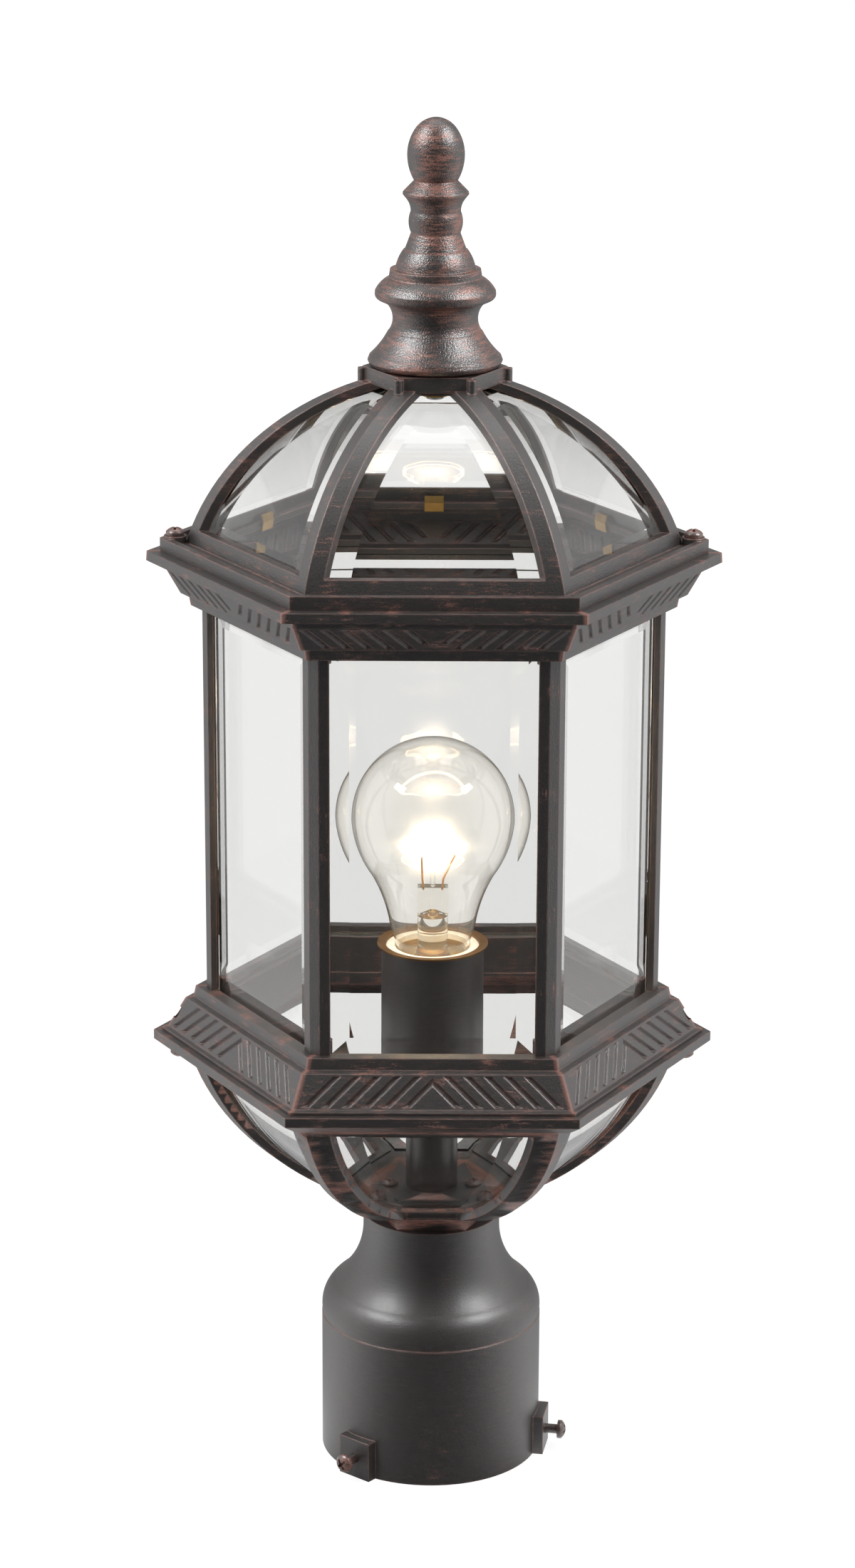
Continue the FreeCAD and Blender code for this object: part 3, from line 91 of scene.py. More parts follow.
# %% Shader arithmetic
class Value:
    """One output of a node, for sums in Python."""

    def __init__(self, graph, socket):
        self.graph = graph
        self.socket = socket

    def maths(self, operation, *others):
        return self.graph.node("Math", {"operation": operation}, self, *others)

    def __add__(self, other):
        return self.maths("ADD", other)

    def __sub__(self, other):
        return self.maths("SUBTRACT", other)

    def __mul__(self, other):
        return self.maths("MULTIPLY", other)

    def __rsub__(self, other):
        return self.graph.node("Math", {"operation": "SUBTRACT"}, other, self)

    def __pow__(self, other):
        return self.maths("POWER", other)

    __radd__ = __add__
    __rmul__ = __mul__

    def clamped(self):
        return self.graph.node("Math", {"operation": "ADD", "use_clamp": True}, self, 0.0)

    def ramp(self, low, high):
        """0 below low, 1 above high, smooth between."""
        return self.graph.node("MapRange", {"interpolation_type": "SMOOTHSTEP"}, self, low, high)


class Web:
    """A tree of nodes, all made by one method and joined by their names."""

    def __init__(self, tree):
        self.tree = tree

    def node(self, kind, settings, *inputs, output=0, **named):
        made = self.tree.nodes.new("ShaderNode" + kind)
        for setting, choice in settings.items():
            setattr(made, setting, choice)
        for socket, given in zip(made.inputs, inputs):
            self.feed(socket, given)
        for label, given in named.items():
            self.feed(made.inputs[label.replace("_", " ")], given)
        return Value(self, made.outputs[output])

    def feed(self, socket, given):
        if isinstance(given, Value):
            self.tree.links.new(given.socket, socket)
        elif given is not None:
            socket.default_value = given

    def place(self, stretch=(1, 1, 1)):
        """The point on the piece, in metres, stretched for a pattern that runs one way."""
        coordinates = self.node("TexCoord", {}, output="Object")
        return self.node("Mapping", {}, coordinates, Scale=stretch)

    def noise(self, scale, detail=3.0, stretch=(1, 1, 1), rough=0.5):
        return self.node("TexNoise", {}, Vector=self.place(stretch), Scale=scale, Detail=detail,
                         Roughness=rough)

    def ray(self, kind):
        """1 where the ray that looks is of this kind."""
        return self.node("LightPath", {}, output="Is %s Ray" % kind)

    def was_mirrored(self):
        """1 where the ray was mirrored on its way, also inside or behind clear glass."""
        return self.node("LightPath", {}, output="Glossy Depth").clamped()

    def mix(self, amount, first, second):
        made = self.tree.nodes.new("ShaderNodeMix")
        made.data_type = "RGBA"
        self.feed(made.inputs[0], amount)
        self.feed(made.inputs[6], first)
        self.feed(made.inputs[7], second)
        return Value(self, made.outputs[2])

    def bump(self, height, distance, strength=1.0, onto=None):
        return self.node("Bump", {}, Strength=strength, Distance=distance, Height=height,
                         Normal=onto)


class Graph(Web):
    """A material with a Principled shader whose sockets are set by name."""

    def __init__(self, name):
        self.material = bpy.data.materials.new(name)
        self.material.use_nodes = True
        super().__init__(self.material.node_tree)
        self.shader = self.tree.nodes["Principled BSDF"]
        self.output = self.tree.nodes["Material Output"]

    def blend(self, amount, second, first=None):
        """The shader, or another one, gives way to a second by this amount."""
        first = first or Value(self, self.shader.outputs[0])
        mixed = self.node("MixShader", {}, amount, first, second)
        self.tree.links.new(mixed.socket, self.output.inputs["Surface"])
        return mixed

    def set(self, **sockets):
        for label, given in sockets.items():
            self.feed(self.shader.inputs[label.replace("_", " ")], given)


def rgb(red, green, blue):
    return (red, green, blue, 1.0)


def faded(colour, share):
    """The same colour, darker or lighter."""
    return rgb(*[channel * share for channel in colour])


print("shader helpers ready")


# %% [markdown]
# The castings are black-brown, sprayed over copper red that is then rubbed back by hand, so
# edges and crests show red in short strokes that run round the piece. The metal under the paint
# is pebbly from the mould. The Bevel node compares the true surface with one whose corners are
# rounded: where they differ there is an edge, which both catches the rub and looks softer.

# %% Painted casting
BRONZE = (0.0100, 0.0078, 0.0070)
COPPER = (0.26, 0.105, 0.075)
ROUND_IT = (0.12, 0.12, 1.0)
ALONG_IT = (1.0, 1.0, 0.1)
EDGE_RADIUS = 0.7 * MM
HIP_NEAR = 0.9 * MM
HIP_FAR = 2.2 * MM
HIP_RAGGED = 1.4 * MM
PEBBLE_HEIGHT = 0.13 * MM
STROKE_HEIGHT = 0.025 * MM


def corner_line(graph):
    """How far a point is from the nearest line through two opposite corners of the hexagon."""
    point = graph.node("TexCoord", {}, output="Object")
    across = graph.node("SeparateXYZ", {}, point, output="X")
    deep = graph.node("SeparateXYZ", {}, point, output="Y")
    nearest = None
    for turn in (0, SIDE_TURN, 2 * SIDE_TURN):
        away = (across * math.sin(turn) - deep * math.cos(turn)).maths("ABSOLUTE")
        nearest = nearest.maths("MINIMUM", away) if nearest else away
    return nearest


def sharp_edges(graph, rounded):
    """1 where the rounded surface turns away from the true one, which is at an edge."""
    true = graph.node("NewGeometry", {}, output="True Normal")
    facing = graph.node("VectorMath", {"operation": "DOT_PRODUCT"}, rounded, true,
                        output="Value")
    return ((1 - facing) * 16 - 0.3).clamped()


def painted_metal(name, dark, pebble=1.0, cover=0.0, streaks=1.0, roughness=0.4, gloss=2.0,
                  edges=1.1, hips=False, run=ROUND_IT):
    """Dark paint rubbed back to copper.

    pebble is how rough the mould left the metal, cover how much copper the rub bared, streaks
    how strong its strokes are and run the way they go, edges how much the edges lost, and hips
    whether the six corners are rubbed where two sloping faces meet.
    """
    graph = Graph(name)
    strokes = graph.noise(1900, 3, run, 0.6)
    broad = graph.noise(1100, 4, run, 0.75)
    patches = graph.noise(80, 3, (1, 1, 1.6))
    grain = graph.noise(3000, 2)
    mould = graph.noise(1700, 3)
    soft = graph.node("Bevel", {"samples": 4}, Radius=EDGE_RADIUS)
    rubs = (broad + patches * 0.7 + grain * 0.6).ramp(1.22 - cover, 1.5 - cover)
    bared = strokes.ramp(0.38, 0.56) * 0.75 + 0.25
    wear = rubs * streaks + sharp_edges(graph, soft) * bared * edges
    if hips:
        ragged = corner_line(graph) + broad * HIP_RAGGED
        wear = wear + (1 - ragged.ramp(HIP_NEAR, HIP_FAR)) * 0.75
    wear = wear.clamped()
    paint = graph.mix((strokes * 0.5 + grain * 0.5).ramp(0.38, 0.66), rgb(*dark),
                      faded(dark, 2.1))
    relief = graph.bump(mould, PEBBLE_HEIGHT * pebble, 1.0, soft)
    relief = graph.bump(strokes, STROKE_HEIGHT * streaks, 1.0, relief)
    graph.set(Base_Color=graph.mix(wear * 0.85, paint, rgb(*COPPER)),
              Roughness=(roughness - 0.05) + grain * 0.1 + wear * 0.06,
              Metallic=wear * 0.2, Normal=relief, IOR=gloss)
    return graph.material


casting = painted_metal("rubbed_bronze_casting", BRONZE)
hipped_casting = painted_metal("rubbed_bronze_hipped_casting", BRONZE, edges=0.5, hips=True)
post_bronze = painted_metal("rubbed_bronze_post", BRONZE, pebble=0.8, cover=-0.06, run=ALONG_IT)
finial_bronze = painted_metal("finial_bronze", (0.014, 0.010, 0.009), pebble=1.5, cover=0.12,
                              roughness=0.33, gloss=1.9)
fitter_bronze = painted_metal("brushed_bronze_fitter", (0.015, 0.012, 0.011), pebble=0.4,
                              cover=-0.08, streaks=0.6, roughness=0.43)
sleeve_black = painted_metal("sleeve_black", (0.013, 0.0105, 0.0098), pebble=0.3, cover=-0.12,
                             streaks=0.4, roughness=0.38)
screw_bronze = painted_metal("screw_bronze", (0.03, 0.02, 0.017), pebble=0.2, cover=0.1,
                             roughness=0.3)
print("painted finishes", len(bpy.data.materials))

# %% [markdown]
# Window glass takes light through it with hardly any colour, and shows grey where it is seen
# through twice. Rays on their way to a lamp pass straight through, because a path tracer would
# otherwise leave everything behind the glass in the dark. They cross two faces of a pane, so each
# face gives them the square root of its tint. A pane's narrow edge shows the iron in the glass:
# seen along its width the same glass is yellow-green, so the edge gets a tint of its own.

# %% Glass
CAUGHT_LIGHT = (1, 0.86, 0.62)


def clear_glass(name, tint, ior=1.5, rim=None, caught=0.0):
    """A rim tint darkens blown glass towards its outline: partly the wall's own tint, seen along
    its length there, and partly painted shade.

    Caught light is what glass so near a lit filament scatters: a little, and warm.
    """
    graph = Graph(name)
    colour = rgb(*tint)
    if rim:
        # Partly painted shade: the glass darkens where it is seen edge-on, towards its outline.
        slant = graph.node("LayerWeight", {}, 0.5, output="Facing")
        colour = graph.mix(slant.ramp(0.72, 1.0), colour, rgb(*rim))
    graph.set(Base_Color=colour, Transmission_Weight=1.0, IOR=ior, Roughness=0.0,
              Emission_Color=rgb(*CAUGHT_LIGHT), Emission_Strength=caught)
    passing = graph.node("BsdfTransparent", {}, rgb(*[channel ** 0.5 for channel in tint]))
    graph.blend(graph.ray("Shadow"), passing)
    return graph.material


pane_glass = clear_glass("pane_glass", (0.905, 0.905, 0.898))
pane_edge = clear_glass("pane_edge", (0.42, 0.47, 0.10))
# The bulb's rim colour is partly its glass seen edge-on and partly painted shade on its outline.
bulb_clear = clear_glass("bulb_clear", (0.985, 0.98, 0.965), ior=1.45, rim=(0.55, 0.50, 0.42),
                         caught=0.03)
print("glass finishes:", pane_glass.name, pane_edge.name, bulb_clear.name)

# %% [markdown]
# The small metal is bare: brass for the clips, nuts and the bulb's cap, darker brass for the lamp
# holder's rim, zinc for the stud and copper for the bulb's lead wires. Bare metal is never even,
# so each gets dull stains and fine scratches from two noises.

# %% Bare metal
def bare_metal(name, colour, roughness):
    graph = Graph(name)
    stain = graph.noise(160, 4)
    scratch = graph.noise(900, 2, (0.2, 0.2, 1))
    dull = graph.mix(stain.ramp(0.45, 0.75) * 0.55, rgb(*colour), faded(colour, 0.45))
    graph.set(Base_Color=dull, Metallic=1.0, Roughness=roughness + stain * 0.15 + scratch * 0.08,
              Normal=graph.bump(scratch, 0.04 * MM))
    return graph.material


brass = bare_metal("clip_brass", (0.55, 0.35, 0.12), 0.25)
zinc = bare_metal("zinc", (0.55, 0.55, 0.56), 0.3)
aged_brass = bare_metal("aged_brass", (0.26, 0.14, 0.05), 0.3)
lead_copper = bare_metal("lead_copper", (0.95, 0.55, 0.30), 0.35)
print("bare metals:", brass.name, zinc.name, aged_brass.name, lead_copper.name)

# %% [markdown]
# The lamp holder's body is cream porcelain under a clear glaze. A coat over a slightly mottled
# colour gives the glaze its own sharp shine.

# %% Porcelain
def glazed_porcelain():
    graph = Graph("cream_porcelain")
    mottle = graph.noise(140, 3)
    graph.set(Base_Color=graph.mix(mottle, rgb(0.82, 0.74, 0.58), rgb(0.90, 0.84, 0.72)),
              Roughness=0.22 + mottle * 0.1, Coat_Weight=mottle * 0.4 + 0.3)
    return graph.material


porcelain = glazed_porcelain()
print("glazed:", porcelain.name)

# %% [markdown]
# The filament glows, so it needs light of its own rather than a colour. The haze round it lets
# nearly everything through and adds a little warm light, most in the ring's middle and none at
# its reach. It is a finish with a very small alpha and a strong glow, so it brightens what is
# behind it without hiding it. The glow is flatter than it is wide, and a slow noise frays it.

# %% Light of the filament and its haze
RING_LEVEL = 234.5 * MM
HAZE_CORE = 2 * MM
HAZE_REACH = 26 * MM
HAZE_FLAT = 0.73
HAZE_FRAY = 4 * MM
HAZE_VEIL = 0.022
HAZE_HEART = 0.15
HAZE_GLOW = 20.0
FILAMENT_GLOW = 100.0


def glowing_filament():
    graph = Graph("lit_filament")
    heat = graph.noise(300, 2)
    graph.set(Base_Color=rgb(1, 0.8, 0.5), Roughness=0.5,
              Emission_Color=graph.mix(heat, rgb(1, 0.66, 0.32), rgb(1, 0.76, 0.44)),
              Emission_Strength=FILAMENT_GLOW)
    return graph.material


def haze_of_light():
    graph = Graph("haze_of_light")
    drift = graph.noise(90, 2)
    middle = graph.node("TexCoord", {}, output="Object")
    middle = graph.node("Mapping", {}, middle, Location=(0, 0, -RING_LEVEL / HAZE_FLAT),
                        Scale=(1, 1, 1 / HAZE_FLAT))
    away = graph.node("VectorMath", {"operation": "LENGTH"}, middle, output="Value")
    near = 1 - (away + (drift - 0.5) * HAZE_FRAY).ramp(HAZE_CORE, HAZE_REACH)
    core = near * near
    graph.set(Base_Color=rgb(0, 0, 0), Roughness=1.0, Specular_IOR_Level=0.0,
              Emission_Color=graph.mix(drift, rgb(1, 0.78, 0.48), rgb(1, 0.86, 0.62)),
              Emission_Strength=HAZE_GLOW,
              Alpha=core * (core * core * HAZE_HEART + HAZE_VEIL))
    return graph.material


lit = glowing_filament()
haze = haze_of_light()
print("lights:", lit.name, haze.name)

# %% [markdown]
# Each of the frame's own pieces gets its finish by its name. The list is read from the top and
# the first start that fits counts, so a longer name stands before a shorter one.

# %% Dress the frame's own pieces
FINISHES = (
    ("bowl_glass", pane_glass), ("side_glass", pane_glass), ("roof_glass", pane_glass),
    ("bulb_glass", bulb_clear), ("bulb_stem", bulb_clear),
    ("bowl_frame", casting), ("roof_frame", casting),
    ("gallery", hipped_casting), ("upper_frame", hipped_casting),
    ("post_fitter", fitter_bronze), ("post_", post_bronze),
    ("socket_sleeve", sleeve_black), ("stem_tube", sleeve_black),
    ("socket_rim", aged_brass), ("socket_body", porcelain),
    ("bowl_screws", screw_bronze), ("pan_screws", screw_bronze),
    ("clamp_screw", screw_bronze), ("roof_screw", screw_bronze),
    ("finial_stud", zinc), ("finial_", brass), ("finial", finial_bronze),
    ("filament_leads", lead_copper), ("filament", lit),
    ("bulb_contact", zinc), ("bulb_cap", brass), ("centre_contact", brass),
    ("screw_shell", brass), ("glass_clips", brass), ("lock_nut", brass), ("nipple", brass),
)


def dress(name):
    material = next(finish for start, finish in FINISHES if name.startswith(start))
    slots = nodes[name].data.materials
    if not slots:
        slots.append(material)
    for index in range(len(slots)):
        slots[index] = material


for name in nodes:
    dress(name)
print("dressed", len(nodes), "nodes")

# %% [markdown]
# Blender's operators act on what is selected, so every step starts from a clean slate. Points
# and faces are then picked by where they are, as a click would pick them. All panes are made once
# and copied round the hexagon, so what they share is here too: their glass and their places.

# %% Picking by place
def clean_slate():
    bpy.ops.object.select_all(action="DESELECT")


def pick(piece, kind, test):
    """Enters edit mode with only the faces or points that pass the test selected."""
    bpy.ops.object.mode_set(mode="EDIT")
    bpy.ops.mesh.select_mode(type="FACE" if kind == "faces" else "VERT")
    bpy.ops.mesh.select_all(action="DESELECT")
    bpy.ops.object.mode_set(mode="OBJECT")
    items = piece.data.polygons if kind == "faces" else piece.data.vertices
    for item in items:
        item.select = bool(test(item))
    bpy.ops.object.mode_set(mode="EDIT")


def settle(piece, smooth_angle):
    """Leaves edit mode and shades the piece smooth except across real creases."""
    bpy.ops.object.mode_set(mode="OBJECT")
    clean_slate()
    piece.select_set(True)
    bpy.context.view_layer.objects.active = piece
    bpy.ops.object.shade_smooth_by_angle(angle=math.radians(smooth_angle))


def glaze(piece, is_edge):
    """Clear glass on the faces, and the yellow-green of thick glass on the narrow edges."""
    piece.data.materials.clear()
    piece.data.materials.append(pane_glass)
    piece.data.materials.append(pane_edge)
    for face in piece.data.polygons:
        face.material_index = 1 if is_edge(face) else 0


def set_round(pane, nodes_name, body):
    """Puts a copy of a pane on every side of the hexagon, each in place of its CAD node."""
    for side in range(SIDES):
        copy = pane if side == 0 else pane.copy()
        if side:
            copy.data = pane.data.copy()
            bpy.context.scene.collection.objects.link(copy)
            copy.data.transform(Matrix.Rotation(SIDE_TURN * side, 4, "Z"))
        copy.name = "%s_bevelled_%d" % (nodes_name, side + 1)
        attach(copy, body)
        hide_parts("%s_%d" % (nodes_name, side + 1))
    print(nodes_name, "faces", len(pane.data.polygons))


print("picking helpers ready")

# %% [markdown]
# The side panes are plate glass whose front is ground away to a wide bevel. A box is inset on
# its front, and the rim that this leaves is pushed back, which gives the four mitred facets.

# %% Side panes
BEVEL_WIDTH = 8.3 * MM
BEVEL_DEPTH = 1.3 * MM
TOUCH = 0.1 * MM


def side_pane():
    low, high = (Vector(corner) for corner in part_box("side_glass_1"))
    clean_slate()
    bpy.ops.mesh.primitive_cube_add(size=1, location=(low + high) / 2)
    pane = bpy.context.object
    pane.scale = high - low
    bpy.ops.object.transform_apply(location=True, rotation=True, scale=True)
    pick(pane, "faces", lambda face: face.normal.y < -0.9)
    bpy.ops.mesh.inset(thickness=BEVEL_WIDTH, use_even_offset=True)
    bpy.ops.object.mode_set(mode="OBJECT")
    flat = {index for face in pane.data.polygons if face.select for index in face.vertices}
    pick(pane, "points",
         lambda point: point.co.y < low.y + TOUCH and point.index not in flat)
    bpy.ops.transform.translate(value=(0, BEVEL_DEPTH, 0))
    settle(pane, 2)
    glaze(pane, lambda face: abs(face.normal.y) < 0.5)
    return pane


set_round(side_pane(), "side_glass", "cage")

# %% [markdown]
# A roof or bowl pane is a flat strip slumped over a round form, so it bends one way only. That is
# what the spin tool makes: a straight edge, swept about the bend's axis.

# %% Bent strip
STRIP_STEPS = 28


def spun_strip(axis, radius, first_turn, last_turn):
    """A strip wider than the pane, left in edit mode. Turns are angles above the level."""
    start = axis + Vector((0, -math.cos(first_turn), math.sin(first_turn))) * radius
    clean_slate()
    bpy.ops.mesh.primitive_plane_add(size=radius * 3, location=(0, 0, 0))
    strip = bpy.context.object
    pick(strip, "points", lambda point: point.co.y > 0)
    bpy.ops.mesh.delete(type="VERT")
    bpy.ops.mesh.select_all(action="SELECT")
    bpy.ops.transform.translate(value=start + Vector((0, radius * 1.5, 0)))
    bpy.ops.mesh.spin(steps=STRIP_STEPS, angle=last_turn - first_turn, center=axis,
                      axis=(1, 0, 0))
    return strip


def cut_through(place, facing, **options):
    """Cuts all there is along a plane that goes through place and faces that way."""
    bpy.ops.mesh.select_all(action="SELECT")
    bpy.ops.mesh.bisect(plane_co=place, plane_no=facing, **options)


print("strip of", STRIP_STEPS, "steps ready")

# %% [markdown]
# The strip is trimmed at the two corners of the hexagon that bound its side, and cut along the
# lines where the grinding stops. It is thickened towards the bend's axis, and then its rim is
# pressed in, the more the nearer it is to the pane's edge.

# %% Roof and bowl panes
PANE_THICKNESS = 3.0 * MM
RIM_DEPTH = 1.5 * MM
CORNER_MARGIN = 1.2 * MM
DOUBLES = 0.01 * MM
CORNER = Vector((math.cos(math.radians(30)), math.sin(math.radians(30)), 0))
OTHER_CORNER = Vector((-CORNER.x, CORNER.y, 0))


def bent_pane(reach, height, radius, first_turn, last_turn, side_rim, low_rim, high_rim):
    """reach and height place the bend's axis, and the rims say how far the grinding goes in."""
    axis = Vector((0, -reach, height))

    def arm_to(place):
        return Vector((0, place.y - axis.y, place.z - axis.z))

    def rim_share(place, arm):
        """1 at the pane's edge, 0 where the grinding stops."""
        turn = math.atan2(arm.z, -arm.y)
        side = min(-corner.dot(place) for corner in (CORNER, OTHER_CORNER)) - CORNER_MARGIN
        share = max(1 - side / side_rim, 1 - abs(turn - first_turn) * radius / low_rim,
                    1 - abs(turn - last_turn) * radius / high_rim, 0)
        return min(share, 1)

    pane = spun_strip(axis, radius, first_turn, last_turn)
    for corner in (CORNER, OTHER_CORNER):
        cut_through(corner * -CORNER_MARGIN, corner, clear_outer=True)
        cut_through(corner * -(CORNER_MARGIN + side_rim), corner)
    for turn in (first_turn + low_rim / radius, last_turn - high_rim / radius):
        cut_through(axis, Vector((0, math.sin(turn), math.cos(turn))))
    bpy.ops.mesh.select_all(action="SELECT")
    bpy.ops.mesh.extrude_region_move()
    inner = (radius - PANE_THICKNESS) / radius
    bpy.ops.transform.resize(value=(1, inner, inner), center_override=axis)
    bpy.ops.object.mode_set(mode="OBJECT")
    for point in pane.data.vertices:
        arm = arm_to(point.co)
        if arm.length > radius - PANE_THICKNESS / 2:
            point.co -= arm.normalized() * RIM_DEPTH * rim_share(point.co, arm)
    pick(pane, "points", lambda point: True)
    bpy.ops.mesh.remove_doubles(threshold=DOUBLES)
    bpy.ops.mesh.normals_make_consistent(inside=False)
    settle(pane, 5)
    glaze(pane, lambda face: abs(face.normal.dot(arm_to(face.center).normalized())) < 0.6)
    return pane


roof_pane = bent_pane(reach=-7.94 * MM, height=323.5 * MM, radius=83.75 * MM,
                      first_turn=math.radians(15.7), last_turn=math.radians(70.4),
                      side_rim=10 * MM, low_rim=9 * MM, high_rim=8 * MM)
set_round(roof_pane, "roof_glass", "roof")
bowl_pane = bent_pane(reach=-1.09 * MM, height=174.9 * MM, radius=77.25 * MM,
                      first_turn=math.radians(-69.3), last_turn=math.radians(-12.6),
                      side_rim=13.5 * MM, low_rim=24 * MM, high_rim=8.5 * MM)
set_round(bowl_pane, "bowl_glass", "cage")

# %% [markdown]
# The bowl's panes stand on the edge of the pan, so the windows between the ribs reach down to it.
# The frame's casting still has a low sill there. A copy of it is cut open with six wedges: each is
# a box trimmed along two ribs, and a Boolean takes all six away at once.

# %% Open the bowl's windows down to the pan
SILL_LOW = 101.6 * MM
SILL_HIGH = 113 * MM
SILL_REACH = (30 * MM, 64 * MM)
RIB_HALF = 7.15 * MM
SAME_POINT = 0.001 * MM


def window_wedges():
    near, far = SILL_REACH
    clean_slate()
    bpy.ops.mesh.primitive_cube_add(
        size=1, location=(0, -(near + far) / 2, (SILL_LOW + SILL_HIGH) / 2))
    wedge = bpy.context.object
    wedge.scale = (2 * far, far - near, SILL_HIGH - SILL_LOW)
    bpy.ops.object.transform_apply(location=True, rotation=True, scale=True)
    bpy.ops.object.mode_set(mode="EDIT")
    for corner in (CORNER, OTHER_CORNER):
        cut_through(corner * -RIB_HALF, corner, clear_outer=True, use_fill=True)
    bpy.ops.mesh.select_all(action="SELECT")
    bpy.ops.mesh.normals_make_consistent(inside=False)
    bpy.ops.object.mode_set(mode="OBJECT")
    for side in range(1, SIDES):
        copy = wedge.copy()
        copy.data = wedge.data.copy()
        copy.data.transform(Matrix.Rotation(SIDE_TURN * side, 4, "Z"))
        bpy.context.scene.collection.objects.link(copy)
        copy.select_set(True)
    wedge.select_set(True)
    bpy.context.view_layer.objects.active = wedge
    bpy.ops.object.join()
    return wedge


def open_bowl():
    node = nodes["bowl_frame"]
    bowl = bpy.data.objects.new("bowl_frame_open", node.data.copy())
    bowl.data.transform(node.matrix_world)
    bpy.context.scene.collection.objects.link(bowl)
    wedges = window_wedges()
    clean_slate()
    bowl.select_set(True)
    bpy.context.view_layer.objects.active = bowl
    bpy.ops.object.mode_set(mode="EDIT")
    bpy.ops.mesh.select_all(action="SELECT")
    bpy.ops.mesh.remove_doubles(threshold=SAME_POINT)
    bpy.ops.object.mode_set(mode="OBJECT")
    cut = bowl.modifiers.new("windows", "BOOLEAN")
    cut.operation = "DIFFERENCE"
    cut.solver = "EXACT"
    cut.object = wedges
    before = len(bowl.data.polygons)
    bpy.ops.object.modifier_apply(modifier=cut.name)
    bpy.data.objects.remove(wedges)
    settle(bowl, 30)
    bowl.data.materials.clear()
    bowl.data.materials.append(casting)
    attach(bowl, "cage")
    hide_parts("bowl_frame")
    print("bowl faces", before, "then", len(bowl.data.polygons))


open_bowl()

# %% [markdown]
# The bulb is blown glass, so nothing on it is straight. Its section is a neck and three arcs,
# measured in the photo: one that flares out, one that fills out and one that closes the top. A
# ring of points is pulled up along it and widened or narrowed step by step, as on a lathe, and
# the skin is then given its thin wall.

# %% Bulb
WALL = 0.5 * MM
NECK = [(12.3, 187.6), (12.3, 194.1), (13.4, 197.5), (15.6, 205.6)]
WAIST_END = (22.5, 225.05)
WIDEST_END = (29.4, 244.5)
TIP = (0.6, 274.8)


def arc(start, end, radius, side, steps):
    """Points along an arc in the section, in millimetres; side 1 bulges away from the axis."""
    (x0, z0), (x1, z1) = start, end
    chord = math.hypot(x1 - x0, z1 - z0)
    off = math.sqrt(radius * radius - chord * chord / 4) * side
    cx = (x0 + x1) / 2 - (z1 - z0) / chord * off
    cz = (z0 + z1) / 2 + (x1 - x0) / chord * off
    low = math.atan2(z0 - cz, x0 - cx)
    turn = math.atan2(z1 - cz, x1 - cx) - low
    turn = (turn + math.pi) % (2 * math.pi) - math.pi
    return [(cx + radius * math.cos(low + turn * step / steps),
             cz + radius * math.sin(low + turn * step / steps)) for step in range(1, steps + 1)]


def bulb_envelope():
    section = (NECK + arc(NECK[-1], WAIST_END, radius=60, side=-1, steps=8)
               + arc(WAIST_END, WIDEST_END, radius=37.9, side=1, steps=10)
               + arc(WIDEST_END, TIP, radius=29.7, side=1, steps=22))
    clean_slate()
    radius, height = section[0]
    bpy.ops.mesh.primitive_circle_add(vertices=96, radius=radius * MM,
                                      location=(0, 0, height * MM))
    bulb = bpy.context.object
    bulb.name = "bulb_envelope"
    bpy.ops.object.transform_apply(location=True)
    bpy.ops.object.mode_set(mode="EDIT")
    bpy.ops.mesh.select_all(action="SELECT")
    for (wide, level), (next_wide, next_level) in zip(section, section[1:]):
        bpy.ops.mesh.extrude_region_move(
            TRANSFORM_OT_translate={"value": (0, 0, (next_level - level) * MM)})
        grow = next_wide / wide
        bpy.ops.transform.resize(value=(grow, grow, 1), center_override=(0, 0, next_level * MM))
    bpy.ops.mesh.merge(type="CENTER")
    bpy.ops.mesh.select_all(action="SELECT")
    bpy.ops.mesh.normals_make_consistent(inside=False)
    settle(bulb, 60)
    wall = bulb.modifiers.new("wall", "SOLIDIFY")
    wall.thickness = WALL
    wall.offset = -1
    bpy.ops.object.modifier_apply(modifier=wall.name)
    bulb.data.materials.append(bulb_clear)
    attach(bulb, "bulb")
    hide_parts("bulb_glass")
    print("bulb faces", len(bulb.data.polygons))


bulb_envelope()

# %% [markdown]
# The filament hangs from its supports as a nearly closed ring and sags a little between them.
# A small disc is spun about the bulb's axis, and then every point is let down by a wave that is
# zero at the supports.

# %% Filament
RING_RADIUS = 12 * MM
WIRE_RADIUS = 0.55 * MM
RING_START = math.radians(-48)
RING_TURN = math.radians(298)
SAG = 0.9 * MM


def filament_ring():
    clean_slate()
    bpy.ops.mesh.primitive_circle_add(vertices=10, radius=WIRE_RADIUS, fill_type="NGON",
                                      location=(RING_RADIUS, 0, RING_LEVEL),
                                      rotation=(math.radians(90), 0, 0))
    ring = bpy.context.object
    ring.name = "filament_ring"
    bpy.ops.object.transform_apply(location=True, rotation=True)
    ring.data.transform(Matrix.Rotation(RING_START, 4, "Z"))
    bpy.ops.object.mode_set(mode="EDIT")
    bpy.ops.mesh.select_all(action="SELECT")
    bpy.ops.mesh.spin(steps=72, angle=-RING_TURN, center=(0, 0, RING_LEVEL), axis=(0, 0, 1))
    bpy.ops.mesh.select_all(action="SELECT")
    bpy.ops.mesh.normals_make_consistent(inside=False)
    bpy.ops.object.mode_set(mode="OBJECT")
    for point in ring.data.vertices:
        turn = math.atan2(point.co.y, point.co.x)
        point.co.z -= SAG * math.sin(3 * (turn - RING_START)) ** 2
    settle(ring, 60)
    ring.data.materials.append(lit)
    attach(ring, "bulb")
    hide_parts("filament")
    print("filament faces", len(ring.data.polygons))


filament_ring()

# %% [markdown]
# A lit filament is far brighter than the rest, and the eye and the lens both see a haze of light
# round it. The haze is three thin leaves that cross in the ring's middle, one level and two
# upright, and its material fades out towards their rims. Three are enough, and more would harm:
# a ray goes through only so many clear faces before it is given up. Each is a disc, pulled up by
# a hair's breadth.

# %% Haze of light
LEAF_THICKNESS = 0.1 * MM


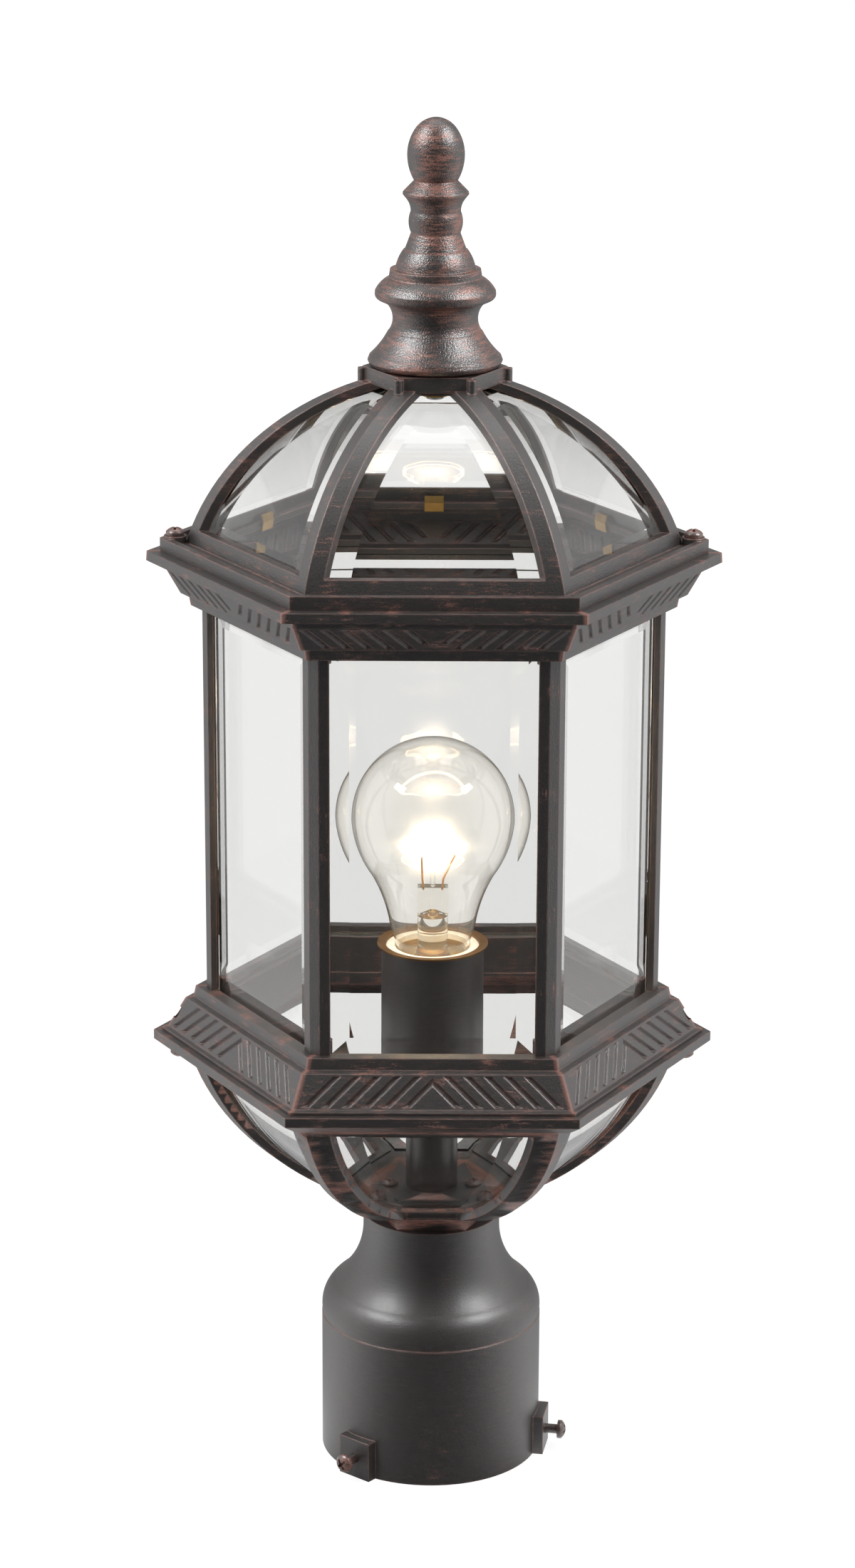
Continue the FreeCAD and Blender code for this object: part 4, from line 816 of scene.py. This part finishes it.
def haze_leaf(tilt, turn):
    clean_slate()
    bpy.ops.mesh.primitive_circle_add(vertices=48, radius=HAZE_REACH, fill_type="NGON",
                                      location=(0, 0, -LEAF_THICKNESS / 2))
    leaf = bpy.context.object
    bpy.ops.object.transform_apply(location=True)
    bpy.ops.object.mode_set(mode="EDIT")
    bpy.ops.mesh.select_all(action="SELECT")
    bpy.ops.mesh.extrude_region_move(TRANSFORM_OT_translate={"value": (0, 0, LEAF_THICKNESS)})
    bpy.ops.mesh.select_all(action="SELECT")
    bpy.ops.mesh.normals_make_consistent(inside=False)
    bpy.ops.object.mode_set(mode="OBJECT")
    leaf.data.transform(Matrix.Rotation(math.radians(turn), 4, "Z")
                        @ Matrix.Rotation(math.radians(tilt), 4, "X"))
    leaf.data.transform(Matrix.Translation((0, 0, RING_LEVEL))
                        @ Matrix.Diagonal((1, 1, HAZE_FLAT, 1)))
    return leaf


def haze_leaves():
    leaves = [haze_leaf(0, 0), haze_leaf(90, 45), haze_leaf(90, -45)]
    clean_slate()
    for leaf in leaves:
        leaf.select_set(True)
    bpy.context.view_layer.objects.active = leaves[0]
    bpy.ops.object.join()
    whole = leaves[0]
    whole.name = "bulb_haze"
    settle(whole, 60)
    whole.data.materials.append(haze)
    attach(whole, "bulb")
    print("haze faces", len(whole.data.polygons))


haze_leaves()

# %% [markdown]
# The photograph's background is plain white. The floor shows white to the camera and through the
# glass, a little more of it towards the back, and a share of its true shading stays, which keeps
# the lantern's shadow. What the gloss mirrors is the studio: dim in front, bright at both sides
# and dimmer again behind, which is why side faces shine grey and the front stays nearly black.
# One rule, the share of a direction that points to the back, gives that for the floor here and
# for the room in the next step.

# %% Floor
FLOOR_SIZE = 12
WHITE_SHARE = 0.88
NEAR_WHITE = 1.05
FAR_WHITE = 0.2
DIM_FRONT = 0.035


def mirrored_studio(web, place):
    """How bright it is that way: one ramp brightens the sides, the other dims the back again."""
    across = web.node("SeparateXYZ", {}, place, output="X")
    back = web.node("SeparateXYZ", {}, place, output="Y")
    share = back.maths("DIVIDE", (across * across + back * back + 0.0001) ** 0.5)
    return share.ramp(-1.1, 0.05) * (1.15 - share.ramp(0.2, 1) * 0.75) + DIM_FRONT


def white_floor():
    graph = Graph("white_floor")
    graph.set(Base_Color=rgb(0.9, 0.9, 0.9), Roughness=0.9, Specular_IOR_Level=0.1)
    spot = graph.node("TexCoord", {}, output="Object")
    back = graph.node("SeparateXYZ", {}, spot, output="Y")
    paper = graph.node("Emission", {}, rgb(1, 1, 1),
                       back.ramp(0.5, 3.0) * FAR_WHITE + NEAR_WHITE)
    mirrored = graph.node("Emission", {}, rgb(1, 1, 1), mirrored_studio(graph, spot))
    shown = (graph.ray("Camera") + graph.ray("Transmission")).clamped()
    plain = graph.blend(shown * WHITE_SHARE, paper)
    graph.blend(graph.was_mirrored() * (1 - graph.ray("Diffuse")), mirrored, plain)
    return graph.material


clean_slate()
bpy.ops.mesh.primitive_plane_add(size=FLOOR_SIZE, location=(0, 0, 0))
floor = bpy.context.object
floor.name = "floor"
floor.data.materials.append(white_floor())
print("floor", FLOOR_SIZE, "m square")

# %% [markdown]
# The room above the floor does three things by the kind of ray that asks. It lights the lantern
# at a plain level, so the paint and the metal keep their own colours. It shows white to the
# camera and through the glass. To a mirrored ray it shows the studio, by the floor's own rule.

# %% Room
PLAIN_LEVEL = 0.45


def studio_room():
    world = bpy.data.worlds.new("studio")
    world.use_nodes = True
    room = Web(world.node_tree)
    lights = room.ray("Diffuse")
    turned = room.was_mirrored()
    mirrored = mirrored_studio(room, room.node("TexCoord", {}, output="Generated"))
    strength = lights * PLAIN_LEVEL + (1 - lights) * (turned * mirrored + (1 - turned))
    backdrop = room.tree.nodes["Background"]
    room.feed(backdrop.inputs["Color"], rgb(1, 1, 1))
    room.feed(backdrop.inputs["Strength"], strength)
    return world


bpy.context.scene.world = studio_room()
print("room", bpy.context.scene.world.name, "at", PLAIN_LEVEL)

# %% [markdown]
# Two small soft boxes stand high at the sides, a little in front. They put the bright line on
# each rib and on the finial's rings. A larger and weaker one hangs over the back, and keeps the
# roof from going flat.

# %% Lamps
SIDE_BOX = (0.84, -0.27, 1.24)
LANTERN_MIDDLE = (0, 0, 0.35)


def softbox(name, place, width, height, power, aim):
    lamp = bpy.data.lights.new(name, "AREA")
    lamp.shape = "RECTANGLE"
    lamp.size = width
    lamp.size_y = height
    lamp.energy = power
    holder = bpy.data.objects.new(name, lamp)
    bpy.context.scene.collection.objects.link(holder)
    holder.location = place
    holder.rotation_euler = (Vector(aim) - Vector(place)).to_track_quat("-Z", "Y").to_euler()


outward, backward, up = SIDE_BOX
softbox("softbox_left", (-outward, backward, up), width=0.4, height=0.4, power=12,
        aim=LANTERN_MIDDLE)
softbox("softbox_right", (outward, backward, up), width=0.4, height=0.4, power=12,
        aim=LANTERN_MIDDLE)
softbox("softbox_top", (0, 0.5, 2.0), width=1.2, height=0.8, power=6, aim=(0, 0, 0.25))
bpy.context.scene.view_settings.view_transform = "Standard"
print("lamps", len(bpy.data.lights))
